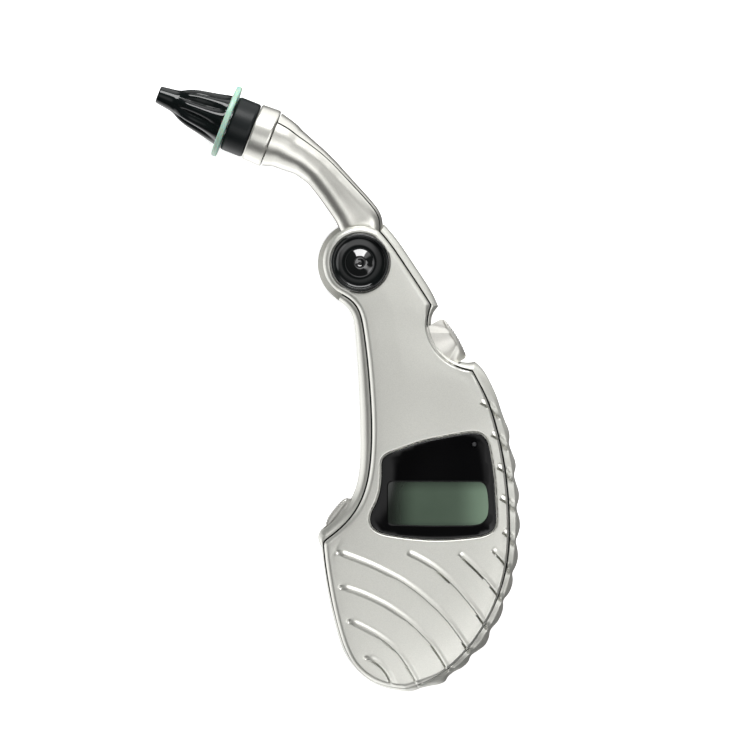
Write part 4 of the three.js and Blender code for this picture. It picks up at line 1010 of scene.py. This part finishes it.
# -------------------------------------------------------------- pivot cap
cap_profile = [(0, 21.4), (8.7, 21.4), (9.0, 21.7), (9.0, 23.35), (8.93, 23.75), (8.72, 24.02), (8.4, 24.15), (8.12, 24.1), (7.95, 23.98), (7.86, 23.8),
               (7.6, 23.55), (7.2, 23.38), (6.6, 23.22), (5.8, 23.10), (5.0, 23.03), (4.6, 23.02), (4.35, 23.06), (4.1, 23.16), (3.8, 23.3), (3.3, 23.55),
                (2.7, 23.86), (2.2, 24.1), (1.85, 24.24), (1.55, 24.28), (1.3, 24.22), (1.0, 24.08), (0.7, 23.95), (0.35, 23.87), (0, 23.85)]
o = make("pivot_cap_disc", *lathe(cap_profile, 128))
o.data.materials.append(CAP)
o.data.materials.append(CAP_DOME)
for _face in o.data.polygons:
    if math.hypot(_face.center.x, _face.center.y) < 4.1 and _face.center.z > 22.5:
        _face.material_index = 1
finish_piece(o, [CAP, CAP_DOME], "handle", "cap_black", "pivot_cap", matrix=Matrix.Translation((PIVOT[0], PIVOT[1], 0)), angle=50)


# ------------------------------------------------------------------ buttons
def side_button(name, node, f, plain_uv, ribbed_uv, slope, material, crown=0.0):
    """A push button: rounded over at its outer end, moulded with fine ribs across the travel."""
    flat = np.array([np.array(f["at"]) + u * np.array(f["out"]) + v * np.array(f["along"]) for u, v in plain_uv])
    poly = np.array([np.array(f["at"]) + u * np.array(f["out"]) + v * np.array(f["along"]) for u, v in ribbed_uv])
    if np.sum(flat[:, 0] * np.roll(flat[:, 1], -1) - np.roll(flat[:, 0], -1) * flat[:, 1]) < 0:
        flat, poly = flat[::-1].copy(), poly[::-1].copy()
    n = len(poly)
    z0, z1 = f["z"]
    at, out = np.array(f["at"]), np.array(f["out"])
    ease = 0.8
    rib = poly - flat

    def top(p):
        u = (p - at) @ out
        v = (p - at) @ np.array(f["along"])
        return z1 - slope * smooth((u + 7.0) / 8.0) ** 1.3 - crown * (np.maximum(v + 4.0, 0) / 10.0) ** 2

    rings = []
    for k in range(7):
        a = math.pi / 2 * k / 6
        d = ease * (1 - math.sin(a))
        rings.append(np.column_stack([inset(flat, d) + rib * (1 - d / ease), np.full(n, z0 + ease * (1 - math.cos(a)))]))
    t_here = top(poly)
    for k in range(1, 6):
        rings.append(np.column_stack([poly, z0 + ease + (t_here - ease - z0 - ease) * k / 6]))
    for k in range(8):
        a = math.pi / 2 * k / 7
        d = ease * (1 - math.cos(a))
        p = inset(flat, d) + rib * (1 - d / ease)
        rings.append(np.column_stack([p, top(p) - ease + ease * math.sin(a)]))
    verts, faces = loft(rings, caps=False)
    edge = rings[-1][:, :2]
    verts, faces, _ = skin(verts, faces, edge, top, lattice(edge, 0.5))
    o = weld(make(name, verts, faces))
    return finish_piece(o, material, node, "button_silver", node, angle=40)


def button_outline(front_run, back_u, amp, wave, margin):
    """Front curve with and without its fine ribs, then the two sides and the back."""
    c = even(np.array(front_run), 200)
    t = np.gradient(c, axis=0)
    t /= np.linalg.norm(t, axis=1)[:, None]
    nrm = np.column_stack([t[:, 1], -t[:, 0]])
    if nrm[100, 0] < 0:
        nrm = -nrm
    s = np.linspace(0, np.linalg.norm(np.diff(c, axis=0), axis=1).sum(), len(c))
    ease = smooth(np.minimum(s, s[-1] - s) / margin)
    ribbed = c + nrm * (amp * (0.5 + 0.5 * np.cos(2 * math.pi * s / wave)) * ease)[:, None]

    def close(run):
        k1 = np.linspace(0, 1, 24)[:-1][:, None]
        k2 = np.linspace(0, 1, 24)[1:][:, None]
        b1, b2 = np.array([back_u, run[0][1]]), np.array([back_u, run[-1][1]])
        back = b2 + (b1 - b2) * np.linspace(0, 1, 26)[1:-1][:, None]
        return np.vstack([b1 + (run[0] - b1) * k1, run, run[-1] + (b2 - run[-1]) * k2, back])

    return close(c), close(ribbed)


scan_run = [(0.35 - 0.014 * v * v - 0.55 * max(0, abs(v) - 6.2), v) for v in np.linspace(-7.4, 7.0, 120)]
power_run = catmull([(0.5, -5.75), (1.6, -4.6), (2.3, -2.6), (2.6, 0.3), (2.6, 3.4), (2.25, 5.0), (1.3, 6.0)], 30)
side_button("scan_button_cap", "scan_button", SCAN, *button_outline(scan_run, -9, 0.2, 0.95, 0.8), 2.6, BUTTON, crown=2.6)
side_button("power_button_cap", "power_button", POWER, *button_outline(power_run, -4, 0.16, 0.85, 0.8), 1.2, BUTTON)
o = make("unit_button_pin", *lathe(rounded([(0, 20.9), (0.8, 20.9), (0.8, 26.6), (0.55, 26.95), (0, 27.0)], 0.15), 32))
finish_piece(o, CHIP, "unit_button", "holder_ivory", "unit_button", matrix=Matrix.Translation((UNIT[0], UNIT[1], 0)))


# ---------------------------------------------------------------------- arm
def neck_frames(count, t0=0.0, t1=1.0):
    pts = np.array([p[:2] for p in NECK])
    # centripetal-like smooth centre line
    fine = soften(even(catmull(pts, 40), 400), 6)
    s = np.linspace(0, 1, len(fine))
    key = np.concatenate([[0], np.cumsum(np.linalg.norm(np.diff(pts, axis=0), axis=1))])
    key /= key[-1]
    t = np.linspace(t0, t1, count)
    c = np.column_stack([np.interp(t, s, fine[:, 0]), np.interp(t, s, fine[:, 1])])
    d = np.gradient(fine, axis=0)
    d = np.column_stack([np.interp(t, s, d[:, 0]), np.interp(t, s, d[:, 1])])
    d /= np.linalg.norm(d, axis=1)[:, None]
    axis = np.array([math.sin(PROBE), -math.cos(PROBE)])
    w = np.clip(1 - t / 0.12, 0, 1)[:, None]
    d = d * (1 - w) + axis * w
    d /= np.linalg.norm(d, axis=1)[:, None]
    hw = np.interp(t, key, [p[2] for p in NECK])
    hd = np.interp(t, key, [p[3] for p in NECK])
    hw = soften(hw[:, None], count * 0.012)[:, 0]
    hd = soften(hd[:, None], count * 0.012)[:, 0]
    return t, c, d, hw, hd


def arm_half(top):
    count, arc = 130, 48
    t, c, d, hw, hd = neck_frames(count)
    # Seam height on each side, as an angle up from the middle plane.
    seam_r = np.radians(np.interp(t, [0, 0.1, 0.35, 0.6, 0.8, 0.9, 1], [53, 51, 45, 40, 38, 36, 26]))
    seam_l = np.radians(np.interp(t, [0, 0.3, 0.5, 0.8, 0.9, 1], [0, 2, 10, 14, 6, 0]))
    square = np.interp(t, [0, 0.15, 0.5, 0.85, 1], [1.0, 0.98, 0.84, 0.74, 0.7])
    gaps = np.interp(t, [0, 0.4, 0.7, 1], [0.028, 0.030, 0.046, 0.05])
    rings = []
    for i in range(count):
        gap = gaps[i]
        nx, ny = -d[i][1], d[i][0]          # towards the outer (right, upper) side when u > 0
        if top:
            q = np.linspace(seam_r[i] + gap, math.pi - seam_l[i] - gap, arc)
        else:
            q = np.linspace(math.pi - seam_l[i] + gap, 2 * math.pi + seam_r[i] - gap, arc)
        loop = []
        for scale in (0, 1.7):
            qq = q if scale == 0 else q[::-1]
            low = np.where(np.sin(qq) < 0, min(1.0, 5.1 / hd[i]) if t[i] > 0.8 else 1.0, 1.0)
            cu = np.sign(np.cos(qq)) * np.abs(np.cos(qq)) ** square[i] * (hw[i] - scale)
            cv = np.sign(np.sin(qq)) * np.abs(np.sin(qq)) ** square[i] * (hd[i] - scale) * low
            if scale == 0 and top:
                cu = cu * (1 - 0.012)
            loop.append(np.column_stack([c[i][0] + nx * cu, c[i][1] + ny * cu, ARM_Z + cv]))
        rings.append(np.vstack(loop))
    verts, faces = loft(rings)
    o = make("arm_front_skin" if top else "arm_rear_skin", verts, [f[::-1] for f in faces])
    bm = bmesh.new()
    bm.from_mesh(o.data)
    bmesh.ops.recalc_face_normals(bm, faces=bm.faces)
    bm.to_mesh(o.data)
    bm.free()
    o.data.materials.append(SILVER_ARM)
    o.data.materials.append(PAINTED_GAP_SHADE)
    # Painted shade: the faces along each seam edge get the dark gap material, standing in for the shade inside the seam
    # gap.
    side = arc * 2
    for i, f in enumerate(o.data.polygons):
        if len(f.vertices) == 4:
            cols = {v % side for v in f.vertices}
            if cols == {arc - 1, arc} or cols == {0, side - 1}:
                f.material_index = 1
    z0, z1 = (ARM_Z + 0.12, ARM_Z + 5.0) if top else (ARM_Z - 5.0, ARM_Z - 0.12)
    prof = [(0, z0), (10.3, z0), (10.3, z1), (0, z1)]
    e = 0.5
    prof = [(0, z0), (10.3, z0), (10.3, z1 - e), (10.22, z1 - e * 0.6), (10.05, z1 - e * 0.15), (9.8, z1), (0, z1)] if top else \
           [(0, z0), (9.8, z0), (10.05, z0 + e * 0.15), (10.22, z0 + e * 0.6), (10.3, z0 + e), (10.3, z1), (0, z1)]
    v, f = lathe(prof, 96)
    v = v + np.array([PIVOT[0], PIVOT[1], 0])
    cut(o, (v, f), "UNION")
    cut(o, cylinder(PIVOT[0], PIVOT[1], 2.62, 0, 24, 48))
    for x, y in ARM_SCREWS:
        if top:
            cut(o, cylinder(x, y, 1.05, 10, 15.5, 20))
        else:
            cut(o, cylinder(x, y, 2.0, 5, 8.8, 32))
            cut(o, cylinder(x, y, 1.15, 5, 14, 20))
    return finish_piece(o, [SILVER_ARM, PAINTED_GAP_SHADE], "arm", "casing_silver", "arm_front_shell" if top else "arm_rear_shell", angle=38)


arm_half(True)
arm_half(False)

# -------------------------------------------------------------------- probe
# Local +Z of these turned pieces points out through the tip; s counts back from the tip face.
AXIS = Matrix.Translation((TIP[0], TIP[1], ARM_Z)) @ Matrix.Rotation(PROBE, 4, "Z") @ Matrix.Rotation(-math.pi / 2, 4, "X")


def on_axis(name, profile, material, slot, *nodes, closed=True, radius=0.25, steps=128, angle=40):
    pts = [(r, -s, *rest) for r, s, *rest in profile]
    if closed:
        pts = pts + pts[:2]
        prof = rounded(pts, radius)[1:-1]
        prof = prof[:]
        v, f = lathe(prof, steps, closed=True)
    else:
        v, f = lathe(rounded(pts, radius), steps)
    o = make(name, v, f)
    return finish_piece(o, material, "arm", slot, *nodes, matrix=AXIS, angle=angle)


on_axis("ear_stop_disc", [(5.8, 23.7), (5.8, 22.0), (11.56, 22.0, 0.7), (11.56, 23.7, 0.7)], MINT, "ring_mint", "ear_stop_ring")
on_axis("probe_base_band", [(5.8, 31.1), (5.8, 24.0), (8.35, 24.0, 0.3), (8.7, 24.7, 0.4), (8.7, 30.4, 0.4), (8.4, 31.1, 0.3)], BASE_BLACK, "base_ring_black", "probe_base_ring")
on_axis("arm_collar_band", [(6.6, 37.58), (6.6, 31.4), (8.75, 31.4, 0.2), (9.0, 31.9, 0.6), (9.2, 36.98, 0.5), (8.95, 37.58, 0.3)], SILVER_ARM, "casing_silver", "arm_collar")


def probe_cone():
    key = [(0, 2.45, 0), (0.12, 2.62, 0), (0.4, 2.72, 0), (2.7, 3.05, 0), (5.2, 3.4, 0), (6.4, 3.75, 0.12), (7.6, 4.45, 0.5), (9.0, 5.15, 0.95), (11.6, 5.95, 1.35),
           (14.8, 6.55, 1.45), (17.5, 7.1, 1.3), (20.2, 7.75, 0.95), (21.6, 8.05, 0.6), (22.0, 8.0, 0.5), (22.1, 7.8, 0.4)]
    s = np.concatenate([np.linspace(0, 0.5, 8), np.linspace(0.7, 21.5, 76), np.linspace(21.6, 22.1, 6)])
    ks = np.array(key)
    fine = np.linspace(0, 22.1, 443)
    r = np.interp(fine, ks[:, 0], ks[:, 1])
    f = np.interp(fine, ks[:, 0], ks[:, 2])
    rs = soften(r[:, None], 9)[:, 0]
    fs = soften(f[:, None], 9)[:, 0]
    blend = np.clip((fine - 1.0) / 2.0, 0, 1) * np.clip((21.2 - fine) / 1.0, 0, 1)
    r = r * (1 - blend) + rs * blend
    f = np.maximum(0, f * (1 - blend) + fs * blend)
    rings = []
    n = 192
    q = np.linspace(0, 2 * math.pi, n, endpoint=False)
    lobe = np.sqrt(np.cos(4 * q) ** 2 + 0.012)
    for si in s:
        rr = np.interp(si, fine, r) - np.interp(si, fine, f) * (1 - np.minimum(1, lobe))
        rings.append(np.column_stack([rr * np.cos(q), rr * np.sin(q), np.full(n, -si)]))
    rings = rings[::-1]
    o = make("probe_cone_skin", *loft(rings))
    bore = lathe([(0, -24), (5.2, -24), (5.2, -19.5), (4.9, -17.5), (3.0, -10), (1.8, -6), (1.8, 1), (0, 1)], 64)
    cut(o, bore)
    return finish_piece(o, PROBE_BLACK, "arm", "probe_black", "probe_cone", matrix=AXIS, angle=48)


probe_cone()

# ------------------------------------------------------- stage, light, camera
floor_mat = surface("floor_pale", (0.93, 0.93, 0.93), 0.85, vary=0.004, vary_scale=3, rough_vary=0.02,
                    Emission_Color=(1, 1, 1, 1), Emission_Strength=0.65)
bpy.ops.mesh.primitive_plane_add(size=8, location=(0, 0, -0.00002))
floor = bpy.context.object
floor.name = "floor"
floor.data.materials.append(floor_mat)
floor.visible_glossy = False

scene = bpy.context.scene
scene.view_settings.view_transform = "Standard"
scene.view_settings.look = "None"
world = bpy.data.worlds.new("studio")
scene.world = world
world.use_nodes = True
wt = world.node_tree
wt.nodes.clear()
direction = wt.nodes.new("ShaderNodeTexCoord").outputs["Generated"]


def wmath(op, a, b=None):
    node = wt.nodes.new("ShaderNodeMath")
    node.operation = op
    for i, v in enumerate((a, b)):
        if v is None:
            continue
        if isinstance(v, (int, float)):
            node.inputs[i].default_value = v
        else:
            wt.links.new(v, node.inputs[i])
    return node.outputs[0]


def glow(azimuth, elevation, inner, outer, strength):
    """A soft round patch of sky: full inside the inner angle, gone outside the outer one."""
    az, el = math.radians(azimuth), math.radians(elevation)
    dot = wt.nodes.new("ShaderNodeVectorMath")
    dot.operation = "DOT_PRODUCT"
    wt.links.new(direction, dot.inputs[0])
    dot.inputs[1].default_value = (math.cos(el) * math.cos(az), math.cos(el) * math.sin(az), math.sin(el))
    mr = wt.nodes.new("ShaderNodeMapRange")
    mr.interpolation_type = "SMOOTHSTEP"
    mr.inputs["From Min"].default_value = math.cos(math.radians(outer))
    mr.inputs["From Max"].default_value = math.cos(math.radians(inner))
    mr.inputs["To Min"].default_value = 0.0
    mr.inputs["To Max"].default_value = strength
    wt.links.new(dot.outputs["Value"], mr.inputs["Value"])
    return mr.outputs["Result"]


SKY = [(90, 34, 8, 28, 0.35), (275, 82, 14, 34, 0.80), (182, -14, 20, 40, 1.35), (258, -18, 22, 42, 1.35), (215, -58, 22, 52, 1.15),
       (62, -6, 22, 42, 1.4), (56, 36, 6, 22, 1.1), (0, 53, 8, 15, 2.5), (325, 49, 7, 17, 2.5), (282, 69, 9, 25, 1.45)]
total = 0.05
for patch in SKY:
    total = wmath("ADD", glow(*patch), total)
hole = glow(0, 88, 7.5, 12, 0.97)
total = wmath("MULTIPLY", total, wmath("SUBTRACT", 1.0, hole))
path = wt.nodes.new("ShaderNodeLightPath")
backdrop = wmath("ADD", wmath("MULTIPLY", path.outputs["Is Camera Ray"], 0.9), wmath("MULTIPLY", wmath("SUBTRACT", 1.0, path.outputs["Is Camera Ray"]), total))
background = wt.nodes.new("ShaderNodeBackground")
background.inputs["Color"].default_value = (1, 1, 1, 1)
wt.links.new(backdrop, background.inputs["Strength"])
wt.links.new(background.outputs[0], wt.nodes.new("ShaderNodeOutputWorld").inputs["Surface"])


def panel(name, location, target, size, power, color=(1, 1, 1)):
    light = bpy.data.lights.new(name, "AREA")
    light.shape = "RECTANGLE"
    light.size, light.size_y = size
    light.energy = power
    light.color = color
    o = bpy.data.objects.new(name, light)
    scene.collection.objects.link(o)
    o.location = location
    o.rotation_euler = (Vector(target) - Vector(location)).to_track_quat("-Z", "Y").to_euler()
    return o


panel("top_panel", (0.03, 0.84, 0.60), (0, 0, 0.01), (0.84, 0.40), 10.0)

MM_PER_PX = 0.31
centre = np.array([(375 - 336.25) * MM_PER_PX, (387.5 - 375) * MM_PER_PX]) + OFF[:2]
lens = 300.0
cam_data = bpy.data.cameras.new("camera")
cam_data.lens = lens
cam_data.sensor_width = 36
height = 0.015 + 750 * MM_PER_PX * 0.001 * lens / 36
cam = bpy.data.objects.new("camera", cam_data)
scene.collection.objects.link(cam)
cam.location = (centre[0] * 0.001, centre[1] * 0.001, height)
cam.rotation_euler = (0, 0, 0)
cam_data.clip_start = 0.01
scene.camera = cam
